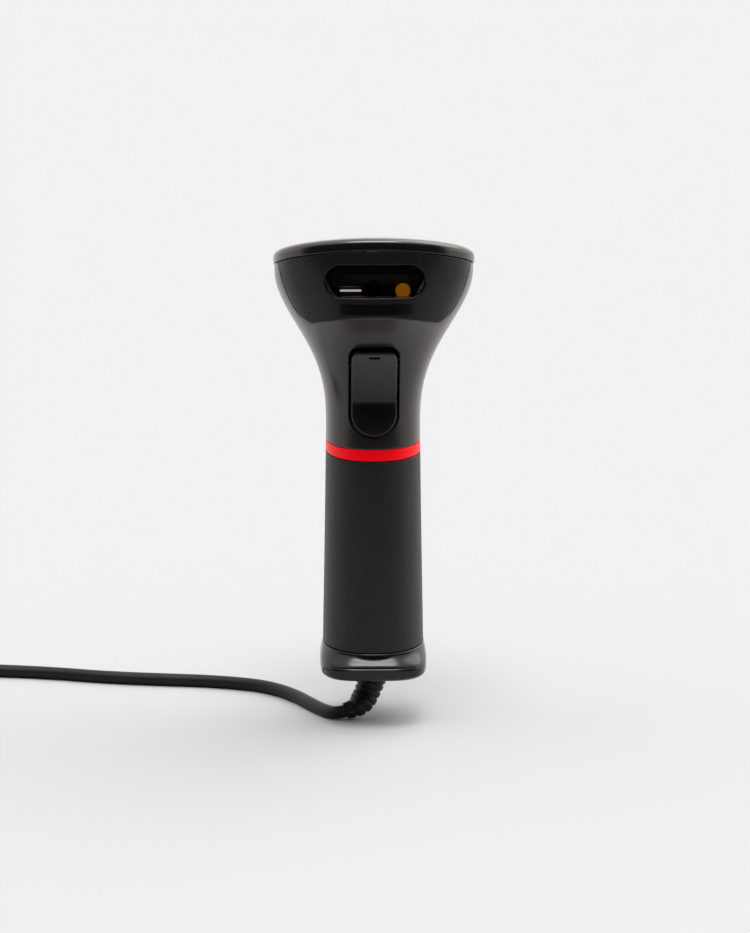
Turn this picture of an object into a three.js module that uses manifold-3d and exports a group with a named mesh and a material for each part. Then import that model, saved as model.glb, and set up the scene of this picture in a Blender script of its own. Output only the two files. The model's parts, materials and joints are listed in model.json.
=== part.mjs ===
// A hand-held barcode scanner on a corded grip, built as an assembly of separate closed pieces.
// Millimetres, +Z up along the grip, the reading window faces -Y and +X is on the right as seen
// from the window's side. Heights in this file are above the underside of the base; the whole group
// is then lowered so that the origin lies on the grip's axis, in the middle of the hand.

import * as THREE from 'three';
import { mergeVertices } from 'three/addons/utils/BufferGeometryUtils.js';
import Module from 'manifold-3d';

const wasm = await Module();
wasm.setup();
const { smoothstep } = THREE.MathUtils;

// ---- driving dimensions -------------------------------------------------------------------

const HAND_HEIGHT = 46;        // middle of the grip above the base's underside: the origin
const SEAM_HEIGHT = 11.7;      // top of the base cap
const RING_BOTTOM = 83.5;      // lower edge of the coloured ring
const RING_TOP = 87.8;         // upper edge of the coloured ring, where the housing starts
const LIP = 130;               // station of the face's lower lip on the body's axis
const RIM = 154;               // station of the seam between housing and top cover
const NECK = 92;               // station where the neck starts to widen

const GAP = 0.3;               // clearance between touching pieces
const WALL = 2.2;              // moulded wall of the housing, cover and base
const SLEEVE = 2.2;            // thickness of the rubber grip
const CORE_WALL = 2;           // wall of the tube inside the grip
const SIDES = 32;              // facets round the body
const FACE_SIDES = 44;         // finer facets round the face, which shows its curve most

const HEAD_TILT = 0.2;         // slope of the head's sections, rising towards the window
const GRIP_TILT = -0.06;       // slope of the grip's seams, which fall towards the window's side
const HEAD_SHIFT = 15;         // how far the head's widest line lies in front of the grip's axis

const TRIGGER = { half: 8.3, bottom: 91.8, top: 124.2, corner: 3, thick: 4.6 };
const TRIGGER_GAP = { side: 0.9, above: 2 };
const PIVOT = { y: -21.5, z: 118.5, pin: 1.2, lug: 2.8, reach: 12 };
const SWITCH_HEIGHT = 100;
const SPRING = { z: 109, front: -19, back: -9.6, radius: 2, wire: 0.55, turns: 4 };

const WINDOW = { z: 152.6, half: 18, high: 6.1 };
const ENGINE = { wide: 26.6, front: -41.3, back: -31.3, bottom: 142.5, top: 154.3, axis: 148.3 };
const AIMER_X = -8.7;
const LAMP_X = 10;

const FLOOR = -18.6;           // surface that the cord lies on
const CORD = 4.8;              // cord diameter
const COIL = { x: -197.5, y: 28, inner: 12, outer: 36.5, lift: 1, layers: 2, pitch: 4.9 };
const STRAP = 0.7;
const PLUG = { back: -207, y: -21, long: 24, wide: 16, high: 8 };
const USB = { wide: 12, high: 4.5, long: 18.7, wall: 0.35 };

// ---- helpers ------------------------------------------------------------------------------

/** A manifold solid from a closed geometry. */
function solid(geometry) {
  const bare = geometry.clone();
  bare.deleteAttribute('normal');
  bare.deleteAttribute('uv');
  const welded = mergeVertices(bare, 1e-4);
  const mesh = new wasm.Mesh({
    numProp: 3,
    vertProperties: new Float32Array(welded.attributes.position.array),
    triVerts: new Uint32Array(welded.index.array),
  });
  return new wasm.Manifold(mesh);
}

/** The geometry of a manifold solid. */
function geometryOf(body) {
  const mesh = body.getMesh();
  const geometry = new THREE.BufferGeometry();
  geometry.setAttribute('position', new THREE.BufferAttribute(new Float32Array(mesh.vertProperties), 3));
  geometry.setIndex(Array.from(mesh.triVerts));
  geometry.computeVertexNormals();
  return geometry;
}

/** A box as a solid, from its lowest and highest corners. */
function block(low, high) {
  const size = high.map((v, i) => v - low[i]);
  const geometry = new THREE.BoxGeometry(...size);
  geometry.translate(...low.map((v, i) => v + size[i] / 2));
  return solid(geometry);
}

/** A round rod along an axis, from one end to the other, with its centre at the two other places. */
function rodGeometry(axis, radius, from, to, place, sides = 16) {
  const geometry = new THREE.CylinderGeometry(radius, radius, to - from, sides);
  const middle = (from + to) / 2;
  if (axis === 'x') {
    geometry.rotateZ(-Math.PI / 2);
    geometry.translate(middle, place[0], place[1]);
  } else if (axis === 'y') {
    geometry.translate(place[0], middle, place[1]);
  } else {
    geometry.rotateX(Math.PI / 2);
    geometry.translate(place[0], place[1], middle);
  }
  return geometry;
}

const rod = (...args) => solid(rodGeometry(...args));

/** A closed solid over an XZ outline, between two places along Y. */
function prism(shape, from, to, curveSegments = 12) {
  const geometry = new THREE.ExtrudeGeometry(shape, {
    depth: to - from, bevelEnabled: false, curveSegments,
  });
  geometry.rotateX(Math.PI / 2);
  geometry.translate(0, to, 0);
  return solid(geometry);
}

/** Rounds a rectangle's corners: an outline of half width w and half height h about (x, z). */
function roundedRectangle(w, h, r, x = 0, z = 0) {
  const shape = new THREE.Shape();
  shape.moveTo(x - w + r, z - h);
  shape.lineTo(x + w - r, z - h);
  shape.absarc(x + w - r, z - h + r, r, -Math.PI / 2, 0);
  shape.lineTo(x + w, z + h - r);
  shape.absarc(x + w - r, z + h - r, r, 0, Math.PI / 2);
  shape.lineTo(x - w + r, z + h);
  shape.absarc(x - w + r, z + h - r, r, Math.PI / 2, Math.PI);
  shape.lineTo(x - w, z - h + r);
  shape.absarc(x - w + r, z - h + r, r, Math.PI, Math.PI * 1.5);
  return shape;
}

/** A drum whose rings are moved to place(level, angle, reach): reach is 0 on the axis, 1 on the wall. */
function shapedDrum(levels, sides, place) {
  const geometry = new THREE.CylinderGeometry(1, 1, 1, sides, levels.length - 1);
  geometry.rotateX(Math.PI / 2);
  const position = geometry.attributes.position;
  for (let i = 0; i < position.count; i += 1) {
    const x = position.getX(i);
    const y = position.getY(i);
    const level = levels[Math.round((position.getZ(i) + 0.5) * (levels.length - 1))];
    position.setXYZ(i, ...place(level, Math.atan2(y, x), Math.hypot(x, y)));
  }
  geometry.computeVertexNormals();
  return geometry;
}

/** A tube of changing radius along a curve, with a ring at each of the given shares of its length. */
function sweep(curve, shares, radiusAt, sides) {
  const fine = 200;
  const frames = curve.computeFrenetFrames(fine, false);
  return shapedDrum(shares, sides, (share, angle, reach) => {
    const frame = Math.round(share * fine);
    const radius = radiusAt(share) * reach;
    const point = curve.getPointAt(share);
    point.addScaledVector(frames.normals[frame], radius * Math.cos(angle));
    point.addScaledVector(frames.binormals[frame], radius * Math.sin(angle));
    return point.toArray();
  });
}

/** Evenly spaced numbers with both ends in. */
function evenly(from, to, count) {
  const step = (to - from) / (count - 1);
  return Array.from({ length: count }, (_, i) => from + i * step);
}

// ---- the body's outer form ----------------------------------------------------------------

/** Half width of the body at a station: the grip tapers a little, and the neck flares into the head. */
function halfWidth(s) {
  if (s < NECK) return 17.4 + 1.3 * ((NECK - s) / 81) ** 1.2;
  const flare = Math.min(1, (s - NECK) / 60) ** 1.47;
  return 17.4 + 18.6 * smoothstep(flare, 0, 1);
}

/** Distance of the front surface from the grip's axis. */
function frontDepth(s) {
  if (s < NECK) return 20.5 + 0.7 * ((NECK - s) / 81);
  if (s < LIP) return 20.5 + 22.7 * ((s - NECK) / (LIP - NECK)) ** 2.7;
  const rise = (1 - Math.exp((LIP - s) / 12)) / (1 - Math.exp((LIP - RIM) / 12));
  return 43.2 + 6.2 * Math.min(1, rise);
}

/** Distance of the rear surface from the grip's axis. */
function rearDepth(s) {
  const grip = 21 + 0.8 * Math.max(0, (NECK - s) / 81);
  return grip + 17 * smoothstep(s, 98, 148);
}

/** How far the face stands in front of the housing's surface: most at its lower lip. */
function faceProud(s) {
  const face = 46.2 + (3.5 * (s - LIP)) / (RIM - LIP);
  return face - frontDepth(s);
}

/** Slope of the section's plane: the grip's seams fall towards the front and the head's rise. */
function tiltAt(s) {
  return GRIP_TILT * smoothstep(s, 4, 10) + (HEAD_TILT - GRIP_TILT) * smoothstep(s, 88, LIP);
}

/** The body's horizontal section at a station. */
function sectionAt(s) {
  const centre = -HEAD_SHIFT * smoothstep(s, 95, 145);
  const crown = s < LIP ? 0.0033 * smoothstep(s, 95, LIP) : 0.0033 - (0.0012 * (s - LIP)) / (RIM - LIP);
  return {
    centre,
    crown,
    half: halfWidth(s),
    front: frontDepth(s) + centre,
    rear: rearDepth(s) - centre,
    tilt: tiltAt(s),
    frontPower: 2.3 + 0.3 * smoothstep(s, 95, 140),
    rearPower: 2.3 - 0.1 * smoothstep(s, 95, 140),
  };
}

const signedPower = (v, p) => Math.sign(v) * Math.abs(v) ** p;

/** A point of a superelliptic section, drawn in by inset. */
function sectionPoint(section, inset, angle, reach) {
  const forward = Math.sin(angle) < 0;
  const power = 2 / (forward ? section.frontPower : section.rearPower);
  const depth = (forward ? section.front : section.rear) - inset;
  const x = (section.half - inset) * signedPower(Math.cos(angle), power) * reach;
  const y = section.centre + depth * signedPower(Math.sin(angle), power) * reach;
  return [x, y];
}

/** A solid with the body's form through levels of { s, inset }. */
function bodySolid(levels, sides = SIDES) {
  const geometry = shapedDrum(levels, sides, ({ s, inset }, angle, reach) => {
    const section = sectionAt(s);
    const [x, y] = sectionPoint(section, inset, angle, reach);
    return [x, y, s - section.tilt * y - section.crown * x * x];
  });
  return solid(geometry);
}

/** Levels from one station to another with a constant or changing inset. */
const levels = (from, to, count, inset) => evenly(from, to, count).map((s) => ({
  s, inset: typeof inset === 'function' ? inset(s) : inset,
}));

// ---- materials and assembly ---------------------------------------------------------------

const finish = (color, roughness, metalness = 0) => () => (
  new THREE.MeshStandardMaterial({ color, roughness, metalness })
);
const housingBlack = finish(0x1b191a, 0.45);
const faceBlack = finish(0x131216, 0.3);
const coverBlack = finish(0x121112, 0.28);
const triggerBlack = finish(0x151415, 0.22);
const rubberBlack = finish(0x1c1b1c, 0.8);
const baseBlack = finish(0x161517, 0.25);
const cordBlack = finish(0x1a1a1b, 0.6);
const ringRed = finish(0xe4061c, 0.35);
const innerPlastic = finish(0x2c2c2e, 0.6);
const glassDark = finish(0x0a090b, 0.05);
const foam = finish(0x0d0d0d, 0.95);
const lensGlass = finish(0x0b0d14, 0.05);
const amber = finish(0xc77a12, 0.2);
const boardGreen = finish(0x14492b, 0.5);
const chipBlack = finish(0x202020, 0.5);
const steel = finish(0xa9aaad, 0.35, 1);
const silver = finish(0xcfd0d2, 0.2, 1);
const ribbonWhite = finish(0xd9d6cc, 0.5);
const clearPlastic = finish(0xd8e4da, 0.15);
const plugPlastic = finish(0xe6e4dd, 0.4);
const strapBlack = finish(0x151515, 0.7);

const scanner = new THREE.Group();
scanner.position.z = -HAND_HEIGHT;

/** Adds a piece of the assembly as its own named mesh. */
function piece(name, shape, material) {
  const geometry = shape.isBufferGeometry ? shape : geometryOf(shape);
  const mesh = new THREE.Mesh(geometry, material());
  mesh.name = name;
  scanner.add(mesh);
}

// ---- housing, face and cover --------------------------------------------------------------

const SPLIT = GAP / 2;                              // half of the gap between the housing's two halves
const SCREW = { x: 12.4, z: 104, shaft: 1.2, hole: 1.5, boss: 3.4, head: 2.6, sink: 2.9 };
const FAR = 80;                                     // beyond every side of the head
const ABOVE = 180;                                  // above the top cover
const frontHalf = block([-FAR, -FAR, 0], [FAR, -SPLIT, ABOVE]);
const rearHalf = block([-FAR, SPLIT, 0], [FAR, FAR, ABOVE]);

const bodyOuter = bodySolid(levels(RING_TOP + SPLIT, RIM - SPLIT, 13, 0));
const bodyInner = bodySolid(levels(RING_TOP - WALL, RIM + WALL, 10, WALL));
const shell = bodyOuter.subtract(bodyInner);

/** The face's outline seen from the front: straight lip, round lower corners, sides along the head. */
function faceOutline(grow) {
  const corner = { x: 21, z: 144.4, r: 8.6 + grow };
  const shape = new THREE.Shape();
  shape.moveTo(-36 - grow, 175);
  shape.quadraticCurveTo(-34.6 - grow, 151, -corner.x - corner.r * 0.83, corner.z - corner.r * 0.56);
  shape.absarc(-corner.x, corner.z, corner.r, Math.PI + 0.6, Math.PI * 1.43, false);
  shape.quadraticCurveTo(0, 142.4 - grow, corner.x - corner.r * 0.22, corner.z - corner.r * 0.975);
  shape.absarc(corner.x, corner.z, corner.r, -Math.PI * 0.43, -0.6, false);
  shape.quadraticCurveTo(34.6 + grow, 151, 36 + grow, 175);
  return shape;
}

/** The trigger's outline, or its opening's when grown: round below, small corners above. */
function triggerOutline(side, above) {
  const half = TRIGGER.half + side;
  const top = TRIGGER.top + above;
  const arcHeight = TRIGGER.bottom + TRIGGER.half;
  const corner = TRIGGER.corner + side;
  const shape = new THREE.Shape();
  shape.absarc(0, arcHeight, half, Math.PI, 0, false);
  shape.lineTo(half, top - corner);
  shape.absarc(half - corner, top - corner, corner, 0, Math.PI / 2, false);
  shape.lineTo(corner - half, top);
  shape.absarc(corner - half, top - corner, corner, Math.PI / 2, Math.PI, false);
  return shape;
}

const FACE_CUT_BACK = -17;
const TRIGGER_CUT_BACK = -12;
const faceOpening = prism(faceOutline(GAP), -FAR, FACE_CUT_BACK);
const triggerOpening = prism(triggerOutline(TRIGGER_GAP.side, TRIGGER_GAP.above), -FAR, TRIGGER_CUT_BACK);

/** Blocks inside the front housing that hold the ends of the trigger's pin. */
function pinHolders() {
  const holders = [-1, 1].map((side) => {
    const ends = [side * 9.9, side * 15];
    const low = [Math.min(...ends), -25, PIVOT.z - 2.8];
    const high = [Math.max(...ends), PIVOT.y + 2.8, PIVOT.z + 2.8];
    return block(low, high);
  });
  return holders[0].add(holders[1]).intersect(bodyOuter);
}

const BRACKET_POST = { x: 13, y: -31, r: 2.5, bottom: 116, top: 139.7 };

/** The front shell: the neck with the trigger opening, the sides of the head and the screw bosses. */
function frontHousing() {
  let body = shell.intersect(frontHalf).subtract(faceOpening).subtract(triggerOpening).add(pinHolders());
  for (const side of [-1, 1]) {
    const boss = rod('y', SCREW.boss, -10, -SPLIT, [side * SCREW.x, SCREW.z]);
    const place = [side * BRACKET_POST.x, BRACKET_POST.y];
    const post = rod('z', BRACKET_POST.r, BRACKET_POST.bottom, BRACKET_POST.top, place, 12);
    body = body.add(boss.add(post).intersect(bodyOuter));
  }
  for (const side of [-1, 1]) {
    body = body.subtract(rod('y', SCREW.hole, -9, 1, [side * SCREW.x, SCREW.z]));
  }
  const reach = PIVOT.reach + GAP;
  return body.subtract(rod('x', PIVOT.pin + GAP, -reach, reach, [PIVOT.y, PIVOT.z]));
}

const HEAD_POST = { x: 10, y: 26, r: 2.5, bottom: 100, top: 144.2 };

/** The rear shell, with a tongue that the top cover and the front shell close round. */
function rearHousing() {
  const tongueOuter = bodySolid([
    { s: RIM - 3, inset: 2 }, { s: RIM - 0.6, inset: 2 },
    { s: RIM - 0.5, inset: 2.5 }, { s: RIM + 1.6, inset: 2.5 },
  ]);
  const tongue = tongueOuter.subtract(bodySolid(levels(RIM - 4, RIM + 3, 2, 3.7)));
  let body = shell.add(tongue).intersect(rearHalf);
  for (const side of [-1, 1]) {
    const boss = rod('y', SCREW.boss, SPLIT, 30, [side * SCREW.x, SCREW.z]);
    const place = [side * HEAD_POST.x, HEAD_POST.y];
    const post = rod('z', HEAD_POST.r, HEAD_POST.bottom, HEAD_POST.top, place, 12);
    body = body.add(boss.add(post).intersect(bodyOuter));
  }
  for (const side of [-1, 1]) {
    body = body.subtract(rod('y', SCREW.hole, -1, 30, [side * SCREW.x, SCREW.z]));
    body = body.subtract(rod('y', SCREW.sink, 12.4, 30, [side * SCREW.x, SCREW.z]));
  }
  return body;
}

const FACE_WALL = 2.4;
const windowStadium = (inset) => {
  const high = WINDOW.high - inset;
  return roundedRectangle(WINDOW.half - inset, high, high - 0.01, 0, WINDOW.z);
};

/** A layer of the face between two depths below its surface. */
function faceLayer(from, to, low, high) {
  const outer = bodySolid(levels(low, high, 6, (s) => from - faceProud(s)), FACE_SIDES);
  const inner = bodySolid(levels(low - 4, high + 4, 6, (s) => to - faceProud(s)), FACE_SIDES);
  return outer.subtract(inner);
}

function faceBezel() {
  const layer = faceLayer(0, FACE_WALL, LIP - 7, RIM - SPLIT);
  const windowHole = prism(windowStadium(0), -FAR, -20);
  return layer.intersect(prism(faceOutline(0), -FAR, FACE_CUT_BACK - GAP)).subtract(windowHole);
}

function scanWindow() {
  return faceLayer(0.7, 1.9, 133, 152.6).intersect(prism(windowStadium(GAP / 2), -FAR, -20));
}

/** The foam between the face's rear and the engine, open in front of the engine. */
function windowGasket() {
  const back = ENGINE.front - GAP;
  const outline = prism(roundedRectangle(19, 7, 6.9, 0, WINDOW.z - 0.4), -FAR, back);
  const behindFace = bodySolid(levels(132, 153.4, 5, (s) => FACE_WALL + GAP - faceProud(s)), FACE_SIDES);
  const opening = block([-12.8, -FAR, 145.2], [12.8, 0, 154.8]);
  return outline.intersect(behindFace).subtract(opening);
}

const STATUS_LED = { x: 0, y: 22, z: 146.4 };

const COVER_PROUD = 0.4;                            // how far the cover's rim stands outside the body

/** The shallow lid of the head, with a rim round its edge and a hole for the status light. */
function topCover() {
  const outer = bodySolid([
    { s: RIM + SPLIT, inset: -COVER_PROUD }, { s: RIM + 2.2, inset: -COVER_PROUD },
    { s: RIM + 3.4, inset: 0 }, { s: RIM + 4.2, inset: 1 }, { s: RIM + 4.7, inset: 2.6 },
    { s: RIM + 5.3, inset: 8 }, { s: RIM + 6, inset: 18 }, { s: RIM + 6.3, inset: 27 },
  ]);
  const inner = bodySolid([
    { s: RIM - 2, inset: WALL }, { s: RIM + 2.6, inset: WALL + 0.2 }, { s: RIM + 3.2, inset: 8 },
    { s: RIM + 3.8, inset: 18 }, { s: RIM + 4.1, inset: 27 },
  ]);
  const lightHole = rod('z', 2.5, 140, 170, [STATUS_LED.x, STATUS_LED.y]);
  return outer.subtract(inner).subtract(lightHole);
}

piece('front_housing', frontHousing(), housingBlack);
piece('rear_housing', rearHousing(), housingBlack);
piece('top_cover', topCover(), coverBlack);
piece('face_bezel', faceBezel(), faceBlack);
piece('scan_window', scanWindow(), glassDark);
piece('window_gasket', windowGasket(), foam);

for (const [name, side] of [['housing_screw_left', -1], ['housing_screw_right', 1]]) {
  const shaft = rod('y', SCREW.shaft, -8, 13, [side * SCREW.x, SCREW.z], 12);
  const head = rod('y', SCREW.head, 12.7, 14.5, [side * SCREW.x, SCREW.z], 16);
  const recess = rod('y', 1, 13.5, 15, [side * SCREW.x, SCREW.z], 6);
  piece(name, shaft.add(head).subtract(recess), steel);
}

// ---- grip, ring and base ------------------------------------------------------------------

/** A closed band of the body's form between two stations and two insets. */
const band = (from, to, count, outer, inner) => (
  bodySolid(levels(from, to, count, outer)).subtract(bodySolid(levels(from - 1, to + 1, count, inner)))
);
const BOARD = { x: 10.4, front: 7, thick: 1.6, bottom: 13.5, top: 80 };
const BASE_SCREW = [0, 14];

/** The stiff tube inside the grip, with the base screw's boss and rails that hold the board. */
function handleCore() {
  let body = band(3, RING_TOP + 4, 3, SLEEVE + GAP, SLEEVE + GAP + CORE_WALL);
  const outside = bodySolid(levels(2, 95, 4, SLEEVE + GAP + 0.5));
  const boss = rod('z', SCREW.boss, 4, 20, BASE_SCREW);
  body = body.add(boss.intersect(outside));
  for (const side of [-1, 1]) {
    for (const front of [BOARD.front - GAP - 1.5, BOARD.front + BOARD.thick + GAP]) {
      const ends = [side * (BOARD.x - 1), side * 16];
      const rail = block([Math.min(...ends), front, 24], [Math.max(...ends), front + 1.5, 76]);
      body = body.add(rail.intersect(outside));
    }
  }
  return body.subtract(rod('z', SCREW.hole, 0, 17, BASE_SCREW));
}

const SCOOP = { ledge: 4.7, top: 11.2, half: 15.5, deep: 2.1, rise: 2.2, fall: 0.35, peak: 2.6 };

/** How far the base's front is hollowed at a height and a place across: most just under its top. */
function scoopDepth(h, x) {
  const up = (h - SCOOP.ledge) / (SCOOP.top - SCOOP.ledge);
  const across = Math.max(0, 1 - (x / SCOOP.half) ** 2);
  if (up <= 0 || up >= 1) return 0;
  return SCOOP.deep * SCOOP.peak * up ** SCOOP.rise * (1 - up) ** SCOOP.fall * across;
}

/** The base's own section: nearly a rounded rectangle below, the grip's outline at its top seam. */
function baseSection(h) {
  const seam = sectionAt(SEAM_HEIGHT);
  const square = 1 - smoothstep(h, 3, SEAM_HEIGHT);
  const below = 2.4;                     // the bulge's curve would end this far under the base
  const bulge = 1.1 * Math.sin(Math.PI * Math.min(1, (h + below) / (SEAM_HEIGHT + below)));
  const edge = 1.7 * (1 - Math.min(1, h / 1.8)) ** 2;
  return {
    centre: 0,
    half: seam.half + bulge - edge,
    front: seam.front + bulge + 0.6 * square - edge,
    rear: seam.rear + bulge + 0.4 * square - edge,
    frontPower: seam.frontPower + 1.7 * square,
    rearPower: seam.rearPower + 0.7 * square,
  };
}

const BOOT_HOLE = 5.6;

function baseCap() {
  const heights = [0, 0.6, 1.7, 3.2, 4.7, 6.2, 8, 9.4, 10.4, SEAM_HEIGHT - SPLIT];
  const outer = solid(shapedDrum(heights, SIDES, (h, angle, reach) => {
    const [x, y] = sectionPoint(baseSection(h), 0, angle, reach);
    return [x, y < 0 ? y + scoopDepth(h, x) * reach : y, h - tiltAt(h) * y];
  }));
  const cavity = bodySolid(levels(2.4, SEAM_HEIGHT + 3, 2, WALL));
  return outer.subtract(cavity)
    .subtract(rod('z', BOOT_HOLE, -1, 4, [0, 0], 24))
    .subtract(rod('z', SCREW.hole, -1, 4, BASE_SCREW))
    .subtract(rod('z', SCREW.sink, -1, 1, BASE_SCREW));
}

/** The screw that holds the base on, its head just inside the underside. */
function baseScrew() {
  const headBottom = 0.05;
  const head = rod('z', SCREW.head, headBottom, 0.7, BASE_SCREW);
  const shaft = rod('z', SCREW.shaft, headBottom + 0.1, 14, BASE_SCREW, 12);
  return head.add(shaft).subtract(rod('z', 1, -1, 0.5, BASE_SCREW, 6));
}

piece('handle_core', handleCore(), innerPlastic);
piece('grip_sleeve', band(SEAM_HEIGHT + SPLIT, RING_BOTTOM - SPLIT, 5, 0, SLEEVE), rubberBlack);
piece('accent_ring', band(RING_BOTTOM + SPLIT, RING_TOP - SPLIT, 2, 0, SLEEVE), ringRed);
piece('base_cap', baseCap(), baseBlack);
piece('base_screw', baseScrew(), steel);

// ---- trigger and switch -------------------------------------------------------------------

const BREAK = 106.5;                     // height where the trigger's front line leans out

/** The trigger's front line: steep below, leaning out above its break. */
function triggerFront(z) {
  const bend = 0.7;
  const above = bend * Math.log(1 + Math.exp((z - BREAK) / bend));
  return -22.2 - 0.09 * (z - TRIGGER.bottom) - 0.468 * above;
}

/** The finger lever with its hub, the nub that presses the switch and the spring's seat. */
function trigger() {
  const { half, bottom, top, corner, thick } = TRIGGER;
  const rings = [];
  for (const turn of [12, 32, 54, 76]) {
    const angle = THREE.MathUtils.degToRad(turn);
    rings.push({ z: bottom + half * (1 - Math.cos(angle)), half: half * Math.sin(angle) });
  }
  for (const z of [bottom + half, BREAK - 1, BREAK + 1, 113, top - corner]) rings.push({ z, half });
  for (const turn of [40, 78]) {
    const angle = THREE.MathUtils.degToRad(turn);
    const narrowed = half - corner + corner * Math.cos(angle);
    rings.push({ z: top - corner + corner * Math.sin(angle), half: narrowed });
  }
  const button = solid(shapedDrum(rings, 20, (ring, angle, reach) => {
    const x = ring.half * signedPower(Math.cos(angle), 0.5) * reach;
    const y = (thick / 2) * (1 + signedPower(Math.sin(angle), 0.5) * reach);
    return [x, triggerFront(ring.z) + y + 0.012 * x * x, ring.z];
  }));
  const arm = block([-4.5, -28, PIVOT.z - 2.8], [4.5, PIVOT.y, PIVOT.z + 2.8]);
  const hub = rod('x', PIVOT.lug, -4.5, 4.5, [PIVOT.y, PIVOT.z]);
  const nub = rod('y', 1.8, -21.5, -15.5, [0, SWITCH_HEIGHT], 12);
  const seat = rod('y', 2.4, -24, SPRING.front - GAP, [0, SPRING.z], 12);
  const slotHeight = 122.5;
  const slotBack = triggerFront(slotHeight) + 1.1;
  const slot = block([-2, -40, slotHeight - 0.45], [2, slotBack, slotHeight + 0.45]);
  return button.add(arm).add(hub).add(nub).add(seat).subtract(slot)
    .subtract(rod('x', PIVOT.pin + GAP, -6, 6, [PIVOT.y, PIVOT.z]));
}

/** A compression spring along Y as one closed coil of wire. */
function triggerSpring() {
  const length = SPRING.back - SPRING.front - SPRING.wire * 2;
  const points = evenly(0, 1, SPRING.turns * 8 + 1).map((share) => {
    const angle = share * SPRING.turns * 2 * Math.PI;
    const y = SPRING.front + SPRING.wire + share * length;
    return new THREE.Vector3(SPRING.radius * Math.cos(angle), y, SPRING.z + SPRING.radius * Math.sin(angle));
  });
  const curve = new THREE.CatmullRomCurve3(points);
  const wire = new THREE.Shape().absarc(0, 0, SPRING.wire / 2, 0, 2 * Math.PI);
  return new THREE.ExtrudeGeometry(wire, { steps: SPRING.turns * 9, extrudePath: curve, curveSegments: 3 });
}

function triggerSwitch() {
  const body = block([-3.5, -13.8, SWITCH_HEIGHT - 3.5], [3.5, -9.6, SWITCH_HEIGHT + 3.5]);
  return body.subtract(rod('y', 1.9, -15, -10.6, [0, SWITCH_HEIGHT], 12));
}

piece('trigger', trigger(), triggerBlack);
piece('trigger_pin', rod('x', PIVOT.pin, -PIVOT.reach, PIVOT.reach, [PIVOT.y, PIVOT.z], 12), steel);
piece('trigger_spring', triggerSpring(), steel);
piece('trigger_switch', triggerSwitch(), chipBlack);
piece('switch_plunger', rod('y', 1.6, -15.2, -12.6, [0, SWITCH_HEIGHT], 12), ribbonWhite);
piece('switch_board', block([-8.6, -9.3, 92.5], [8.6, -7.7, 114]), boardGreen);

// ---- reading engine in the head -----------------------------------------------------------

const AIMER = { wide: 8, high: 2.8, deep: 0.8, slotWide: 7, slotHigh: 1.2 };
const LAMP_RADIUS = 2.6;
const BARREL = { outer: 3.7, inner: 2.6 };
const ENGINE_SCREW = { x: 9, z: 152.2, shaft: 0.9, head: 1.9 };
const PLATE = 2;

/** The bores for the two screws that hold the engine to its bracket. */
function screwBores(front) {
  const bores = [-1, 1].map((side) => (
    rod('y', ENGINE_SCREW.shaft + GAP, front, 0, [side * ENGINE_SCREW.x, ENGINE_SCREW.z], 12)
  ));
  return bores[0].add(bores[1]);
}

/** The engine's block, with seats for the camera, the lamp and the aimer. */
function scanEngine() {
  const half = ENGINE.wide / 2;
  let body = block([-half, ENGINE.front, ENGINE.bottom], [half, ENGINE.back, ENGINE.top]);
  body = body.subtract(rod('y', BARREL.outer + GAP, -60, -36, [0, ENGINE.axis], 24));
  body = body.subtract(rod('y', LAMP_RADIUS + GAP, -60, -37.6, [LAMP_X, ENGINE.axis], 20));
  const slot = [AIMER.wide / 2 + GAP, AIMER.high / 2 + GAP];
  body = body.subtract(block(
    [AIMER_X - slot[0], -60, ENGINE.axis - slot[1]],
    [AIMER_X + slot[0], -38.5, ENGINE.axis + slot[1]],
  ));
  return body.subtract(screwBores(-35.8));
}

/** An angle of sheet steel under and behind the engine, standing on the housing's two posts. */
function engineBracket() {
  const back = ENGINE.back + GAP;
  const top = ENGINE.bottom - GAP;
  const floor = block([-15.6, -38.5, top - PLATE], [15.6, back + PLATE, top]);
  const wall = block([-13.3, back, ENGINE.bottom - 1], [13.3, back + PLATE, ENGINE.top]);
  return floor.add(wall).subtract(screwBores(-36));
}

/** The bright plate with a slit that shapes the aiming line. */
function aimerPlate() {
  const high = AIMER.high / 2;
  const front = ENGINE.front + 0.7;
  const frame = block(
    [AIMER_X - AIMER.wide / 2, front, ENGINE.axis - high],
    [AIMER_X + AIMER.wide / 2, front + AIMER.deep, ENGINE.axis + high],
  );
  return frame.subtract(block(
    [AIMER_X - AIMER.slotWide / 2, -50, ENGINE.axis - AIMER.slotHigh / 2],
    [AIMER_X + AIMER.slotWide / 2, -30, ENGINE.axis + AIMER.slotHigh / 2],
  ));
}

/** A round optical piece turned about the Y axis: profile points are [radius, y]. */
function turned(profile, x, z, sides) {
  const points = profile.map(([r, y]) => new THREE.Vector2(r, y));
  const geometry = new THREE.LatheGeometry(points, sides);
  geometry.translate(x, 0, z);
  return geometry;
}

piece('scan_engine', scanEngine(), chipBlack);
piece('engine_bracket', engineBracket(), steel);
piece('camera_barrel', turned([
  [BARREL.inner, -41], [BARREL.outer, -41], [BARREL.outer, -36.3], [BARREL.inner, -36.3], [BARREL.inner, -41],
], 0, ENGINE.axis, 24), faceBlack);
piece('camera_lens', turned([
  [0, -38.6], [2.3, -38.6], [2.3, -39.4], [1.3, -40], [0, -40.2],
].reverse(), 0, ENGINE.axis, 20), lensGlass);
piece('aimer_plate', aimerPlate(), silver);
piece('lamp_lens', turned([
  [0, -38], [LAMP_RADIUS, -38], [LAMP_RADIUS, -40.2], [LAMP_RADIUS * 0.7, -40.9], [0, -41.2],
].reverse(), LAMP_X, ENGINE.axis, 20), amber);

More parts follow.
